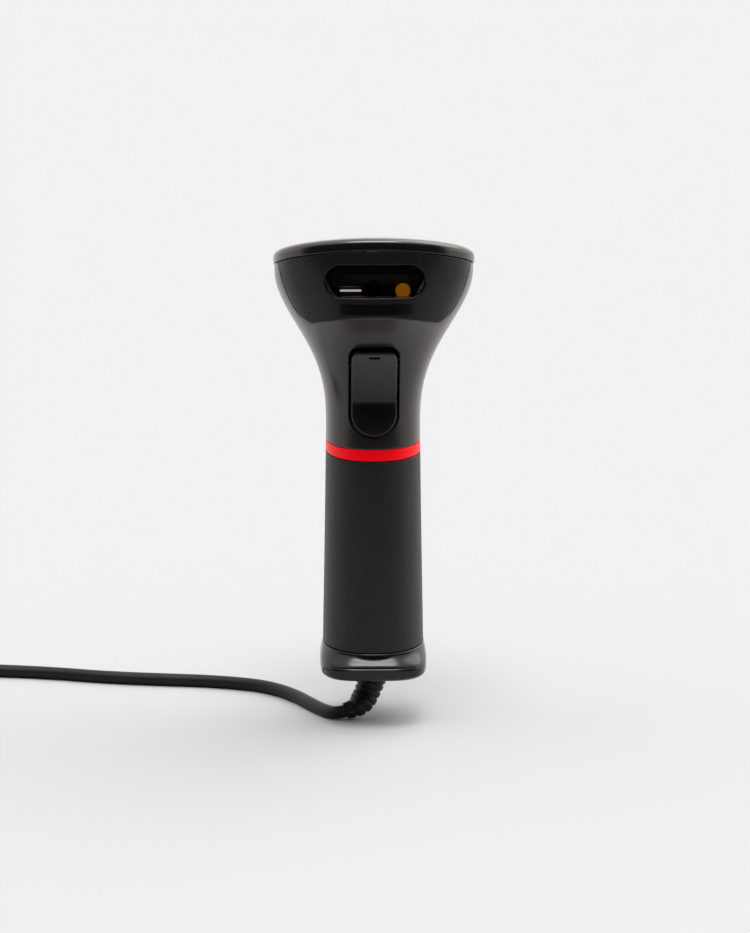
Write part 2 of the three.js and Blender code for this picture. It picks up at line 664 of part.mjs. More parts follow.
for (const [name, side] of [['engine_screw_left', -1], ['engine_screw_right', 1]]) {
  const place = [side * ENGINE_SCREW.x, ENGINE_SCREW.z];
  const seat = ENGINE.back + GAP + PLATE + GAP;
  const shaft = rod('y', ENGINE_SCREW.shaft, -35.4, seat + 0.5, place, 10);
  piece(name, shaft.add(rod('y', ENGINE_SCREW.head, seat, seat + 1.4, place, 14)), steel);
}

// ---- electronics --------------------------------------------------------------------------

const HEAD_BOARD = { bottom: 144.5, thick: 1.6 };
const SOCKET = { wide: 15.4, deep: 13, bottom: 13.5, top: 28.5 };

/** The board's socket for the lead's modular jack, open below. */
function cableSocket() {
  const { wide, deep, bottom, top } = SOCKET;
  const body = block([-wide / 2, -deep / 2, bottom], [wide / 2, deep / 2, top]);
  return body.subtract(block([-6.1, -4.6, bottom - 1], [6.1, 4.6, 25]));
}

/** A flat ribbon along a YZ route, as an extruded strip. */
function ribbon(route, width, thick) {
  const curve = new THREE.CatmullRomCurve3(route.map(([y, z]) => new THREE.Vector3(0, y, z)));
  const points = curve.getSpacedPoints(10);
  const sideA = [];
  const sideB = [];
  points.forEach((point, i) => {
    const tangent = curve.getTangentAt(i / 10);
    const [ny, nz] = [-tangent.z * thick * 0.5, tangent.y * thick * 0.5];
    sideA.push(new THREE.Vector2(point.y + ny, point.z + nz));
    sideB.unshift(new THREE.Vector2(point.y - ny, point.z - nz));
  });
  const geometry = new THREE.ExtrudeGeometry(new THREE.Shape([...sideA, ...sideB]), {
    depth: width, bevelEnabled: false,
  });
  geometry.rotateY(Math.PI / 2);
  geometry.rotateX(Math.PI / 2);
  geometry.translate(-width / 2, 0, 0);
  return geometry;
}

const boardBack = BOARD.front + BOARD.thick;
const chipBack = BOARD.front - GAP;
piece('main_board', block(
  [-BOARD.x, BOARD.front, BOARD.bottom],
  [BOARD.x, boardBack, BOARD.top],
), boardGreen);
piece('cable_socket', cableSocket(), chipBlack);
piece('cable_jack', block([-5.8, -4.3, 12], [5.8, 4.3, 24.4]), clearPlastic);
piece('beeper', rod('y', 6, 2.2, chipBack, [0, 38], 20), chipBlack);
piece('decoder_chip', block([-6, 5.4, 48], [6, chipBack, 60]), chipBlack);
piece('memory_chip', block([-4, 5.6, 65], [4, chipBack, 71]), chipBlack);

const headBoardTop = HEAD_BOARD.bottom + HEAD_BOARD.thick;
piece('head_board', block([-14, -23, HEAD_BOARD.bottom], [14, 29, headBoardTop]), boardGreen);
piece('status_led', block(
  [STATUS_LED.x - 1.6, STATUS_LED.y - 1.4, STATUS_LED.z],
  [STATUS_LED.x + 1.6, STATUS_LED.y + 1.4, STATUS_LED.z + 1.4],
), clearPlastic);
piece('status_light_pipe', turned([
  [0, 148.2], [3.4, 148.2], [3.4, 149.4], [2.2, 149.4], [2.2, 155.9], [1.6, 156.4], [0, 156.6],
], 0, 0, 16).rotateX(Math.PI / 2).translate(STATUS_LED.x, STATUS_LED.y, 0), clearPlastic);

const RIBBON_ROUTE = [[-28.3, 147], [-26.6, 149.5], [-24.6, 148.6], [-23.6, 145.6]];
const HARNESS_ROUTE = [[4.4, 144.1], [4.2, 130], [3.4, 112], [6, 92], [7.6, 80.4]];
piece('engine_ribbon', ribbon(RIBBON_ROUTE, 10, 0.3), ribbonWhite);
piece('board_harness', ribbon(HARNESS_ROUTE, 9, 0.8), ribbonWhite);

// ---- strain relief and cord ---------------------------------------------------------------

const BOOT_PATH = [
  [0, 0, 5], [0, 0, 1], [0, 0, -2.2], [-0.9, -0.4, -5.4], [-2.3, -1.3, -9.1], [-4.1, -2.5, -12.1],
  [-6.6, -3.8, -14.2], [-10.4, -4.6, -15.4],
];
const RUN_PATH = [
  [-11.3, -4.75, -15.6], [-15, -4.2, -16.05], [-18.7, 0.8, -16.2], [-22.9, 9.2, -16.2], [-28, 20, -16.2],
  [-34.5, 30, -16.2], [-42.5, 37.6, -16.2], [-52.5, 42.4, -16.2], [-65, 46, -16.2], [-80, 48.5, -16.2],
  [-94, 51, -16.2], [-107, 54.2, -16.2], [-119.5, 58.2, -16.2], [-132, 61.4, -16.2], [-144, 63.3, -16.1],
  [-157, 64.3, -15.7], [-167, 64.5, -15.3], [-176.4, 64.5, -15.2],
];
const TAIL_PATH = [
  [-235.8, 9.8, -13.3], [-236, 1, -15.5], [-232, -10, -16.2], [-224.4, -17.6, -16.1],
  [-215.8, -20.7, -15.3], [PLUG.back - GAP, PLUG.y, -14.6],
];

const curveThrough = (points) => new THREE.CatmullRomCurve3(
  points.map((point) => new THREE.Vector3(...point)), false, 'catmullrom', 0.5,
);

/** The ribbed boot: a flange and stem inside the base, and rings that taper towards the cord. */
function strainRelief() {
  const curve = curveThrough(BOOT_PATH);
  const length = curve.getLength();
  const ribbed = 7.6;                    // length of plain boot before the first rib
  const pitch = 2.5;
  const shares = [0, 0.1, ribbed / length];
  for (let at = ribbed; at + pitch < length - 1.5; at += pitch) {
    shares.push((at + 0.35) / length, (at + 0.75) / length, (at + 1.9) / length);
  }
  shares.push((length - 1.2) / length, 1);
  const boot = sweep(curve, shares, (share) => {
    const along = share * length;
    const taper = 5.2 - 0.5 * smoothstep(along, 8, 16) - 1.6 * smoothstep(along, 17, length);
    const inRib = ((along - ribbed) % pitch) / pitch;
    const rib = along > ribbed && along < length - 1.5 && inRib > 0.25 && inRib < 0.8;
    return along < ribbed || rib ? taper : taper - 0.6;
  }, 12);
  return solid(boot)
    .add(rod('z', 7, 2.7, 4.9, [0, 0], 20))
    .add(rod('z', 3, 4, 11.7, [0, 0], 12));
}

/** A plain tube for a stretch of cord. */
function cordTube(points, steps) {
  const circle = new THREE.Shape().absarc(0, 0, CORD / 2, 0, 2 * Math.PI);
  return new THREE.ExtrudeGeometry(circle, { steps, extrudePath: curveThrough(points), curveSegments: 4 });
}

/** The outer shape of the wound coil, a flat ring with rounded shoulders. */
function coilRing() {
  const low = FLOOR + COIL.lift;
  const high = low + COIL.layers * COIL.pitch - 0.1;
  const inner = COIL.inner - CORD / 2 - GAP;
  const outer = COIL.outer + CORD / 2 + GAP;
  const round = 1.4;
  const profile = [
    [inner, low + round], [inner + round, low], [outer - round, low], [outer, low + round],
    [outer, high - round], [outer - round, high], [inner + round, high], [inner, high - round],
    [inner, low + round],
  ].map(([r, z]) => new THREE.Vector2(r, z));
  const geometry = new THREE.LatheGeometry(profile, 28);
  geometry.rotateX(Math.PI / 2);
  geometry.translate(COIL.x, COIL.y, 0);
  return geometry;
}

/** The strap round one side of the coil. */
function cableTie() {
  const width = 9;
  const inner = Math.sqrt((COIL.inner - CORD / 2 - GAP) ** 2 - (width / 2) ** 2) - GAP * 2;
  const outer = COIL.outer + CORD / 2 + GAP * 2;
  const top = FLOOR + COIL.lift + COIL.layers * COIL.pitch + GAP;
  const strap = block([inner - STRAP, -width / 2, FLOOR], [outer + STRAP, width / 2, top + STRAP])
    .subtract(block([inner, -width, FLOOR + STRAP], [outer, width, top]));
  const geometry = geometryOf(strap);
  geometry.rotateZ(THREE.MathUtils.degToRad(-35));
  geometry.translate(COIL.x, COIL.y, 0);
  return geometry;
}

/** A block with a rounded section, extruded along X. */
function alongX(shape, from, to, y, z, bevel) {
  const geometry = new THREE.ExtrudeGeometry(shape, {
    depth: to - from - 2 * bevel, bevelEnabled: bevel > 0, bevelThickness: bevel, bevelSize: bevel,
    bevelOffset: -bevel, bevelSegments: 1, curveSegments: 3,
  });
  geometry.rotateX(Math.PI / 2);
  geometry.rotateZ(Math.PI / 2);
  geometry.translate(from + bevel, y, z);
  return geometry;
}

const plugHeight = FLOOR + PLUG.high / 2;
const shellStart = PLUG.back + PLUG.long + GAP;
const shellEnd = shellStart + USB.long;

/** The plug's metal shell, open towards its socket. */
function usbShell() {
  const outer = roundedRectangle(USB.wide / 2, USB.high / 2, 0.5);
  const inner = roundedRectangle(USB.wide / 2 - USB.wall, USB.high / 2 - USB.wall, 0.25);
  const bar = solid(alongX(outer, shellStart, shellEnd, PLUG.y, plugHeight, 0));
  const hollow = solid(alongX(inner, shellStart + 1, shellEnd + 1, PLUG.y, plugHeight, 0));
  return bar.subtract(hollow);
}

piece('strain_relief', strainRelief(), rubberBlack);
piece('cable_run', cordTube(RUN_PATH, 28), cordBlack);
piece('cable_coil', coilRing(), cordBlack);
piece('cable_tail', cordTube(TAIL_PATH, 12), cordBlack);
piece('cable_tie', cableTie(), strapBlack);
const overmould = roundedRectangle(PLUG.wide / 2, PLUG.high / 2, 2.6);
piece('usb_overmould', alongX(
  overmould, PLUG.back, PLUG.back + PLUG.long, PLUG.y, plugHeight, 1,
), rubberBlack);
piece('usb_shell', usbShell(), silver);
piece('usb_insulator', block(
  [shellStart + 1.3, PLUG.y - 5.3, plugHeight - 1.55],
  [shellEnd - 0.6, PLUG.y + 5.3, plugHeight + 0.25],
), plugPlastic);

export default scanner;
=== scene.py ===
"""The looks of a corded hand-held barcode scanner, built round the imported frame.

Lengths in the code are millimetres, and heights are above the base's underside, as in the CAD part.
Meshes are turned into metres, with the origin on the grip's axis, when they are made.
"""
import json
import math

import bmesh
import bpy
import numpy as np
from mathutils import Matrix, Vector


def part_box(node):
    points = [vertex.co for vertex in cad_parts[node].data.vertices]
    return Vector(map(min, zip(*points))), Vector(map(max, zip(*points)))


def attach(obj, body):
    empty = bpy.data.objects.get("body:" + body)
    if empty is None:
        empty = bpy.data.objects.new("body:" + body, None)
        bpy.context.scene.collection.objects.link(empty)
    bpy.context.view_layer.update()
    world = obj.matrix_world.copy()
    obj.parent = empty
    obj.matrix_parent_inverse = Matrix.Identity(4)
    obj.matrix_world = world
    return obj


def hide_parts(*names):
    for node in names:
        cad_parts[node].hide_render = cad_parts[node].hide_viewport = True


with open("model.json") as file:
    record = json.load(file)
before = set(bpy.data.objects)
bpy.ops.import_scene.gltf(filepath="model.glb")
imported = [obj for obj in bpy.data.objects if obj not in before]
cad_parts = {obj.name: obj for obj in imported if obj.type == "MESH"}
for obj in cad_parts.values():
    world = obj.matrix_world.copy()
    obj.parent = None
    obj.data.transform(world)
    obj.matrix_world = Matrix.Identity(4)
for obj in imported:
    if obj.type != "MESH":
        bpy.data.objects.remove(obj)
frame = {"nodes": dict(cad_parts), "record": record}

for plain in list(bpy.data.materials):    # the frame's own, which the ones below replace
    bpy.data.materials.remove(plain)

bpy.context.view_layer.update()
MM = 0.001
HAND_HEIGHT = -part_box("base_cap")[0].z / MM
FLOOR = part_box("cable_tie")[0].z / MM + HAND_HEIGHT

# ---- driving dimensions ----

SEAM_HEIGHT = 11.7      # top of the base cap
RING_BOTTOM = 83.5      # lower edge of the red ring
RING_TOP = 87.8         # upper edge of the red ring, where the housing starts
NECK = 92               # station where the neck starts to widen
LIP = 130               # station of the face's lower lip
RIM = 154               # station of the seam between housing and top cover
SPLIT = 0.15            # half of the gap between two shells
WALL = 2.2
HEAD_TILT = 0.2
GRIP_TILT = -0.06
COVER_PROUD = 0.4
HEAD_SHIFT = 15
TRIGGER = {"half": 8.3, "bottom": 91.8, "top": 124.2, "corner": 3, "thick": 4.6}
BREAK = 106.5           # height where the trigger's front leans out
WINDOW = {"z": 152.6, "half": 18, "high": 6.1}
ENGINE_AXIS = 148.3
AIMER_X = -8.7
SCREW = {"x": 12.4, "z": 104, "sink": 2.9, "head": 2.6, "shaft": 1.2}
BASE_SCREW_Y = 14
LIGHT_PIPE_Y = 22
CORD = 4.8
COIL = {"x": -197.5, "y": 28, "inner": 12, "outer": 36.5, "lift": 1, "pitch": 4.9, "turns": 5}
PLUG = {"back": -207, "y": -21, "long": 24, "wide": 16, "high": 8}
USB = {"wide": 12, "high": 4.5, "long": 18.7}

BOOT_PATH = [
    (0, 0, 5), (0, 0, 1), (0, 0, -2.2), (-0.9, -0.4, -5.4), (-2.3, -1.3, -9.1), (-4.1, -2.5, -12.1),
    (-6.6, -3.8, -14.2), (-10.4, -4.6, -15.4),
]
RUN_PATH = [
    (-11.3, -4.75, -15.6), (-15, -4.2, -16.05), (-18.7, 0.8, -16.2), (-22.9, 9.2, -16.2),
    (-28, 20, -16.2), (-34.5, 30, -16.2), (-42.5, 37.6, -16.2), (-52.5, 42.4, -16.2),
    (-65, 46, -16.2), (-80, 48.5, -16.2), (-94, 51, -16.2), (-107, 54.2, -16.2),
    (-119.5, 58.2, -16.2), (-132, 61.4, -16.2), (-144, 63.3, -16.1), (-157, 64.3, -15.7),
    (-167, 64.5, -15.3), (-176.4, 64.5, -15.2), (-187, 64.5, -15.2),
]
TAIL_PATH = [
    (-234.6, 20, -10.6), (-235.5, 14.5, -11.8), (-235.8, 9.8, -13.3), (-236, 1, -15.5),
    (-232, -10, -16.2), (-224.4, -17.6, -16.1), (-215.8, -20.7, -15.3), (-207.3, -21, -14.6),
]


# ---- camera, floor and light ----

def new_object(name, data):
    added = bpy.data.objects.new(name, data)
    bpy.context.scene.collection.objects.link(added)
    return added


def set_camera():
    """A long lens 1.5 m away, 11 degrees above the horizon and a degree to the left."""
    distance, elevation, azimuth = 1500, math.radians(11), math.radians(-1)
    target = Vector((0.74, 0, 76.6 - HAND_HEIGHT))
    back = Vector((
        math.sin(azimuth) * math.cos(elevation),
        -math.cos(azimuth) * math.cos(elevation),
        math.sin(elevation),
    ))
    data = bpy.data.cameras.new("camera")
    data.lens = 156.4
    data.clip_start = 0.05
    camera = new_object("camera", data)
    camera.location = (target + back * distance) * MM
    camera.rotation_euler = (-back).to_track_quat("-Z", "Y").to_euler()
    bpy.context.scene.camera = camera
    bpy.context.scene.view_settings.view_transform = "Standard"


class Nodes:
    """A node tree with short calls for adding and joining nodes."""

    def __init__(self, owner):
        owner.use_nodes = True
        self.tree = owner.node_tree
        self.tree.nodes.clear()

    def add(self, kind, inputs=None, **settings):
        node = self.tree.nodes.new("ShaderNode" + kind)
        for name, value in settings.items():
            setattr(node, name, value)
        for name, value in (inputs or {}).items():
            self.set(node.inputs[name], value)
        return node

    def set(self, socket, value):
        """Joins a socket to another one, or gives it a number or a colour."""
        if isinstance(value, bpy.types.NodeSocket):
            self.tree.links.new(value, socket)
        else:
            socket.default_value = (*value, 1) if socket.type == "RGBA" else value

    def place(self):
        return self.add("TexCoord").outputs["Object"]

    def axes(self, vector):
        return self.add("SeparateXYZ", {"Vector": vector}).outputs

    def ramp(self, value, low, high, at_low=0.0, at_high=1.0, kind="SMOOTHSTEP"):
        """A smooth step of value from one number to another."""
        node = self.add("MapRange", {
            "Value": value, "From Min": low, "From Max": high, "To Min": at_low, "To Max": at_high,
        }, interpolation_type=kind)
        return node.outputs["Result"]

    def math(self, operation, a, b=0.0):
        return self.add("Math", {0: a, 1: b}, operation=operation).outputs[0]

    def total(self, first, *others):
        for other in others:
            first = self.math("ADD", first, other)
        return first

    def product(self, first, *others):
        for other in others:
            first = self.math("MULTIPLY", first, other)
        return first

    def mix(self, share, first, second):
        """A colour between two others."""
        return self.add("Mix", {0: share, 6: first, 7: second}, data_type="RGBA").outputs[2]

    def noise(self, vector, scale, detail=2.0):
        inputs = {"Vector": vector, "Scale": scale, "Detail": detail}
        return self.add("TexNoise", inputs).outputs["Fac"]

    def bump(self, height, distance, strength=1.0, **under):
        """Relief of so many millimetres, over another one given as Normal."""
        inputs = {"Strength": strength, "Distance": distance * MM, "Height": height, **under}
        return self.add("Bump", inputs).outputs["Normal"]

    def end(self, shader, output="OutputMaterial"):
        self.set(self.add(output).inputs["Surface"], shader.outputs[0])


def set_world():
    """A white studio, dark in front, with soft boxes overhead and behind at the right.

    Where the camera sees past the floor, a pale backdrop shows.
    """
    world = bpy.data.worlds.new("studio")
    bpy.context.scene.world = world
    n = Nodes(world)
    direction = n.add("TexCoord").outputs["Generated"]
    x, y, up = n.axes(direction)
    across = n.math("ABSOLUTE", x)
    towards = n.product(y, -1.0)
    side = n.ramp(across, 0.5, 0.95)
    overhead = n.ramp(up, 0.6, 0.85)
    dark = n.product(n.ramp(towards, 0.0, 0.45), n.ramp(up, 0.42, 0.72, 1.0, 0.0), 0.985)
    above = n.ramp(up, -0.2, -0.02, 0.1, 1.0)
    leaning = n.total(n.product(x, 0.15), 1.0)
    bright = n.total(n.product(side, 0.5), n.product(overhead, 0.45), 1.0)
    level = n.product(bright, n.math("SUBTRACT", 1.0, dark), above, leaning)
    front_box = n.product(
        n.ramp(up, 0.83, 0.88), n.ramp(up, 0.983, 0.995, 1.0, 0.0),
        n.ramp(across, 0.12, 0.24, 1.0, 0.0), n.ramp(towards, 0.0, 0.12), 10.0,
    )
    key = Vector((0.5, 0.42, 0.76)).normalized()
    facing = n.add("VectorMath", {0: direction, 1: key}, operation="DOT_PRODUCT").outputs["Value"]
    back_box = n.ramp(facing, 0.82, 0.96, 0.0, 2.6)
    light = n.add("Background", {
        "Color": n.mix(side, (1.0, 0.99, 0.98), (1.0, 0.88, 0.77)),
        "Strength": n.product(n.total(level, front_box, back_box), 1.1),
    })
    backdrop = n.add("Background", {"Color": (0.88, 0.88, 0.88), "Strength": 1.0})
    seen = n.add("LightPath").outputs["Is Camera Ray"]
    both = n.add("MixShader", {0: seen, 1: light.outputs[0], 2: backdrop.outputs[0]})
    n.end(both, "OutputWorld")


def set_floor():
    """A pale floor that runs far behind the scanner and ends in front of it, out of view."""
    near, far, wide = -290 * MM, 9.0, 6.0
    height = (FLOOR - HAND_HEIGHT) * MM
    mesh = bpy.data.meshes.new("floor")
    corners = [(-wide, near), (wide, near), (wide, far), (-wide, far)]
    mesh.from_pydata([(*corner, height) for corner in corners], [], [(0, 1, 2, 3)])
    floor = new_object("floor", mesh)
    material = bpy.data.materials.new("floor_paper")
    n = Nodes(material)
    n.end(n.add("BsdfDiffuse", {"Color": (0.403, 0.409, 0.420)}))
    mesh.materials.append(material)


# ---- curves and outlines ----

def catmull(points, per_span):
    """A smooth line through points, as many rows as per_span asks for in each span."""
    p = np.array(points, float)
    p = np.vstack([2 * p[0] - p[1], p, 2 * p[-1] - p[-2]])
    t = np.linspace(0, 1, per_span, endpoint=False)[:, None]
    rows = []
    for a, b, c, d in zip(p[:-3], p[1:-2], p[2:-1], p[3:]):
        rows.append(0.5 * (2 * b + (c - a) * t + (2 * a - 5 * b + 4 * c - d) * t**2
                           + (3 * b - a - 3 * c + d) * t**3))
    return np.vstack(rows + [p[-2:-1]])


def length_along(line):
    steps = np.linalg.norm(np.diff(line, axis=0), axis=1)
    return np.concatenate([[0], np.cumsum(steps)])


def arc(x, z, radius, start, end, count=24):
    angle = np.linspace(start, end, count)
    return np.stack([x + radius * np.cos(angle), z + radius * np.sin(angle)], -1)


def bow(start, control, end, count=24):
    """A quadratic curve from start to end, pulled towards control."""
    t = np.linspace(0, 1, count)[:, None]
    start, control, end = (np.array(p, float) for p in (start, control, end))
    return (1 - t) ** 2 * start + 2 * t * (1 - t) * control + t**2 * end


def face_outline():
    """The face's closed outline, made of its left half and the same half mirrored."""
    x, z, r = 21, 144.4, 8.6
    side = bow((-36.6, 175), (-35.4, 151), (-x - r * 0.83, z - r * 0.56), 40)
    corner = arc(-x, z, r, math.pi + 0.6, math.pi * 1.43)
    lip = bow(corner[-1], (0, 142.4), corner[-1] * (-1, 1), 41)[:20]
    left = np.vstack([side, corner[1:], lip[1:]])
    return np.vstack([left, left[::-1] * (-1, 1)])


def trigger_outline(side=0.0, above=0.0):
    half = TRIGGER["half"] + side
    top = TRIGGER["top"] + above
    corner = TRIGGER["corner"] + side
    below = arc(0, TRIGGER["bottom"] + TRIGGER["half"], half, math.pi, 2 * math.pi, 60)
    right = arc(half - corner, top - corner, corner, 0, math.pi / 2)
    left = arc(corner - half, top - corner, corner, math.pi / 2, math.pi)
    return np.vstack([below, right, left])


def stadium(half, high, x=0.0, z=0.0, count=40):
    right = arc(x + half - high, z, high, -math.pi / 2, math.pi / 2, count)
    left = arc(x - half + high, z, high, math.pi / 2, 1.5 * math.pi, count)
    return np.vstack([right, left])


def inside(u, v, loop):
    """Depth of points inside a closed outline, negative outside it."""
    p = np.stack([u.ravel(), v.ravel()], -1)
    a, b = loop, np.roll(loop, -1, 0)
    edge = b - a
    long = np.maximum((edge**2).sum(-1), 1e-12)
    depth = np.empty(len(p))
    for start in range(0, len(p), 4096):
        q = p[start:start + 4096, None, :]
        t = np.clip(((q - a) * edge).sum(-1) / long, 0, 1)
        gap = np.sqrt((((a + t[..., None] * edge) - q) ** 2).sum(-1)).min(-1)
        above = (a[:, 1] > q[..., 1]) != (b[:, 1] > q[..., 1])
        rise = np.where(np.abs(edge[:, 1]) < 1e-12, 1e-12, edge[:, 1])
        cross = a[:, 0] + (q[..., 1] - a[:, 1]) / rise * edge[:, 0]
        odd = (above & (q[..., 0] < cross)).sum(-1) % 2 == 1
        depth[start:start + 4096] = np.where(odd, gap, -gap)
    return depth.reshape(u.shape)


# ---- the body's form ----

def smooth(v, low, high):
    t = np.clip((np.asarray(v, float) - low) / (high - low), 0, 1)
    return t * t * (3 - 2 * t)


def half_width(s):
    grip = 17.4 + 1.3 * max(0, (NECK - s) / 81) ** 1.2
    flare = min(1, max(0, (s - NECK) / 60)) ** 1.47
    return grip + 18.6 * float(smooth(flare, 0, 1))


def front_depth(s):
    if s < NECK:
        return 20.5 + 0.7 * ((NECK - s) / 81)
    if s < LIP:
        return 20.5 + 22.7 * ((s - NECK) / (LIP - NECK)) ** 2.7
    rise = (1 - math.exp((LIP - s) / 12)) / (1 - math.exp((LIP - RIM) / 12))
    return 43.2 + 6.2 * min(1, rise)


def rear_depth(s):
    return 21 + 0.8 * max(0, (NECK - s) / 81) + 17 * float(smooth(s, 98, 148))


def face_proud(s):
    """How far the face stands in front of the housing's surface."""
    return 46.2 + 3.5 * (s - LIP) / (RIM - LIP) - front_depth(s)


def tilt(s):
    """Slope of a section's plane: the grip's seams fall towards the front and the head's rise."""
    return GRIP_TILT * float(smooth(s, 4, 10)) + (HEAD_TILT - GRIP_TILT) * float(smooth(s, 88, LIP))


def section(s):
    """The body's own section at a station."""
    centre = -HEAD_SHIFT * float(smooth(s, 95, 145))
    arched, relaxed = float(smooth(s, 95, LIP)), max(0, (s - LIP) / (RIM - LIP))
    widen = float(smooth(s, 95, 140))
    return {
        "centre": centre, "crown": 0.0033 * arched - 0.0012 * relaxed, "half": half_width(s),
        "front": front_depth(s) + centre, "rear": rear_depth(s) - centre,
        "tilt": tilt(s),
        "front_power": 2.3 + 0.3 * widen, "rear_power": 2.3 - 0.1 * widen,
    }


def base_section(h):
    """The base cap's section: nearly a rounded rectangle below, the grip's outline at its seam."""
    seam = section(SEAM_HEIGHT)
    square = 1 - float(smooth(h, 3, SEAM_HEIGHT))
    below, bevel = 2.4, 1.8
    bulge = 1.1 * math.sin(math.pi * min(1, (h + below) / (SEAM_HEIGHT + below)))
    edge = 1.7 * (1 - min(1, h / bevel)) ** 2
    return {
        "centre": 0, "half": seam["half"] + bulge - edge,
        "front": seam["front"] + bulge + 0.6 * square - edge,
        "rear": seam["rear"] + bulge + 0.4 * square - edge,
        "front_power": seam["front_power"] + 1.7 * square,
        "rear_power": seam["rear_power"] + 0.7 * square,
    }


def circle(count):
    return np.linspace(0, 2 * math.pi, count, endpoint=False)


def superellipse(angle, power):
    """x and y round a unit superellipse."""
    c, s = np.cos(angle), np.sin(angle)
    return np.sign(c) * np.abs(c) ** (2 / power), np.sign(s) * np.abs(s) ** (2 / power)


def section_line(form, inset, start):
    """A dense closed line round a section, as x, y and the length along it."""
    angle = start + np.linspace(0, 2 * math.pi, 2401)
    forward = np.sin(angle) < 0
    across, depth = superellipse(angle, np.where(forward, form["front_power"], form["rear_power"]))
    x = (form["half"] - inset) * across
    y = form["centre"] + (np.where(forward, form["front"], form["rear"]) - inset) * depth
    return x, y, length_along(np.stack([x, y], -1))


FROM_REAR, FROM_FRONT = math.pi / 2, -math.pi / 2
QUARTER = np.radians([90, 72, 54, 36, 18])   # round an edge, from the wall to the surface


def rounding(radius):
    """Steps round an edge, as distances from it along the surface and into it."""
    return radius * (1 - np.sin(QUARTER)), radius * (1 - np.cos(QUARTER))


def ring(form, inset, count):
    """Evenly spaced x and y round a section, starting in the middle of the rear."""
    x, y, along = section_line(form, inset, FROM_REAR)
    at = np.linspace(0, along[-1], count, endpoint=False)
    return np.interp(at, along, x), np.interp(at, along, y)


def half_ring(form, inset, count, front):
    """x and y round the front or rear half of a section, with rounded edges at the side seams."""
    x, y, along = section_line(form, inset, FROM_REAR if front else FROM_FRONT)
    radius, toward = 0.3, 1 if front else -1
    first, last = np.flatnonzero(toward * y < -SPLIT - radius)[[0, -1]]
    at = np.linspace(along[first], along[last], count)
    px, py = np.interp(at, along, x), np.interp(at, along, y)
    turn_y, turn_in = rounding(radius)
    edge_y = -toward * np.append(SPLIT, SPLIT + turn_y)
    start, end = (px[i] - np.sign(px[i]) * np.append(WALL, turn_in) for i in (0, -1))
    return np.concatenate([start, px, end[::-1]]), np.concatenate([edge_y, py, edge_y[::-1]])


def rounded_levels(low, high, step, radius=0.3):
    """Stations and insets from one edge to another, both rounded and turned in by a wall."""
    count = max(2, round((high - low - 2 * radius) / step) + 1)
    turn_s, turn_in = rounding(radius)
    stations = np.concatenate([
        [low], low + turn_s, np.linspace(low + radius, high - radius, count),
        high - turn_s[::-1], [high],
    ])
    insets = np.concatenate([[WALL], turn_in, np.zeros(count), turn_in[::-1], [WALL]])
    return list(zip(stations, insets))


def body_grid(levels, count, front=None):
    """Points of the body's surface, in whole rows or those of its front or rear half."""
    rows = []
    for s, inset in levels:
        form = section(s)
        x, y = ring(form, inset, count) if front is None else half_ring(form, inset, count, front)
        rows.append(np.stack([x, y, s - form["tilt"] * y - form["crown"] * x * x], -1))
    return np.array(rows)


# ---- meshes ----

def snapped(points, depth, closed):
    """Moves grid points beside a cut onto it, and returns them with depth 0 there."""
    best = np.full(depth.shape, 0.5)
    moved = points.copy()
    touched = np.zeros(depth.shape, bool)
    for axis in (0, 1):
        for step in (1, -1):
            other = np.roll(depth, -step, axis)
            crossing = depth * other < 0
            if axis == 0 or not closed:
                last = [slice(None)] * 2
                last[axis] = -1 if step == 1 else 0
                crossing[tuple(last)] = False
            share = np.where(crossing, depth / np.where(crossing, depth - other, 1), 1)
            nearer = crossing & (share <= best)
            best = np.where(nearer, share, best)
            towards = points + share[..., None] * (np.roll(points, -step, axis) - points)
            moved = np.where(nearer[..., None], towards, moved)
            touched |= nearer
    return moved, np.where(touched, 0, depth), touched


def grid_faces(depth, closed):
    """The faces of a grid that lie where depth isn't negative, with corners cut along the edge."""
    rows, columns = depth.shape
    faces = []
    for i in range(rows - 1):
        for j in range(columns if closed else columns - 1):
            k = (j + 1) % columns
            corners = [(i, j), (i, k), (i + 1, k), (i + 1, j)]
            values = [depth[c] for c in corners]
            if max(values) <= 0:
                continue
            kept = [c for c, v in zip(corners, values) if v >= 0]
            if len(kept) >= 3:
                faces.append([r * columns + c for r, c in kept])
    return faces


UNCUT, CUT_AWAY = 99.0, -9.0    # depths for points far inside and far outside
BACKWARD = Vector((0, 1, 0))


class Cut:
    """An opening or an outer edge cut through a grid, with its rounding and its wall.

    The radius is one number, or one for each point of the grid.
    """

    def __init__(self, depth, radius, wall, along=None, floor=False):
        self.depth = depth
        self.radius = np.broadcast_to(radius, depth.shape)
        self.wall = wall
        self.along = along
        self.floor = floor


def add_rim(bm, corners, cut):
    """Rounds the boundary between corners and turns it in, by the normal or a set direction.

    corners gives each vertex its radius.
    """
    edges = [e for e in bm.edges if e.is_boundary and all(v in corners for v in e.verts)]
    away = {}
    for edge in edges:
        loop = edge.link_loops[0]
        start, end = loop.vert, loop.link_loop_next.vert
        sideways = (end.co - start.co).cross(loop.face.normal)
        for vert in (start, end):
            away[vert] = away.get(vert, Vector()) + sideways
    out = {vert: direction.normalized() for vert, direction in away.items()}
    normals = {vert: vert.normal.copy() for vert in out}
    previous = {vert: vert for vert in out}
    places = [(math.sin(t), 1 - math.cos(t)) for t in QUARTER[::-1]]
    for sideways, down in places:
        current = {
            v: bm.verts.new(v.co + out[v] * corners[v] * sideways - normals[v] * corners[v] * down)
            for v in out
        }
        join_loops(bm, edges, previous, current)
        previous = current
    deep = {v: bm.verts.new(previous[v].co + (cut.along or -normals[v]) * cut.wall) for v in out}
    join_loops(bm, edges, previous, deep)
    if cut.floor:
        bmesh.ops.contextual_create(bm, geom=list(deep.values()))


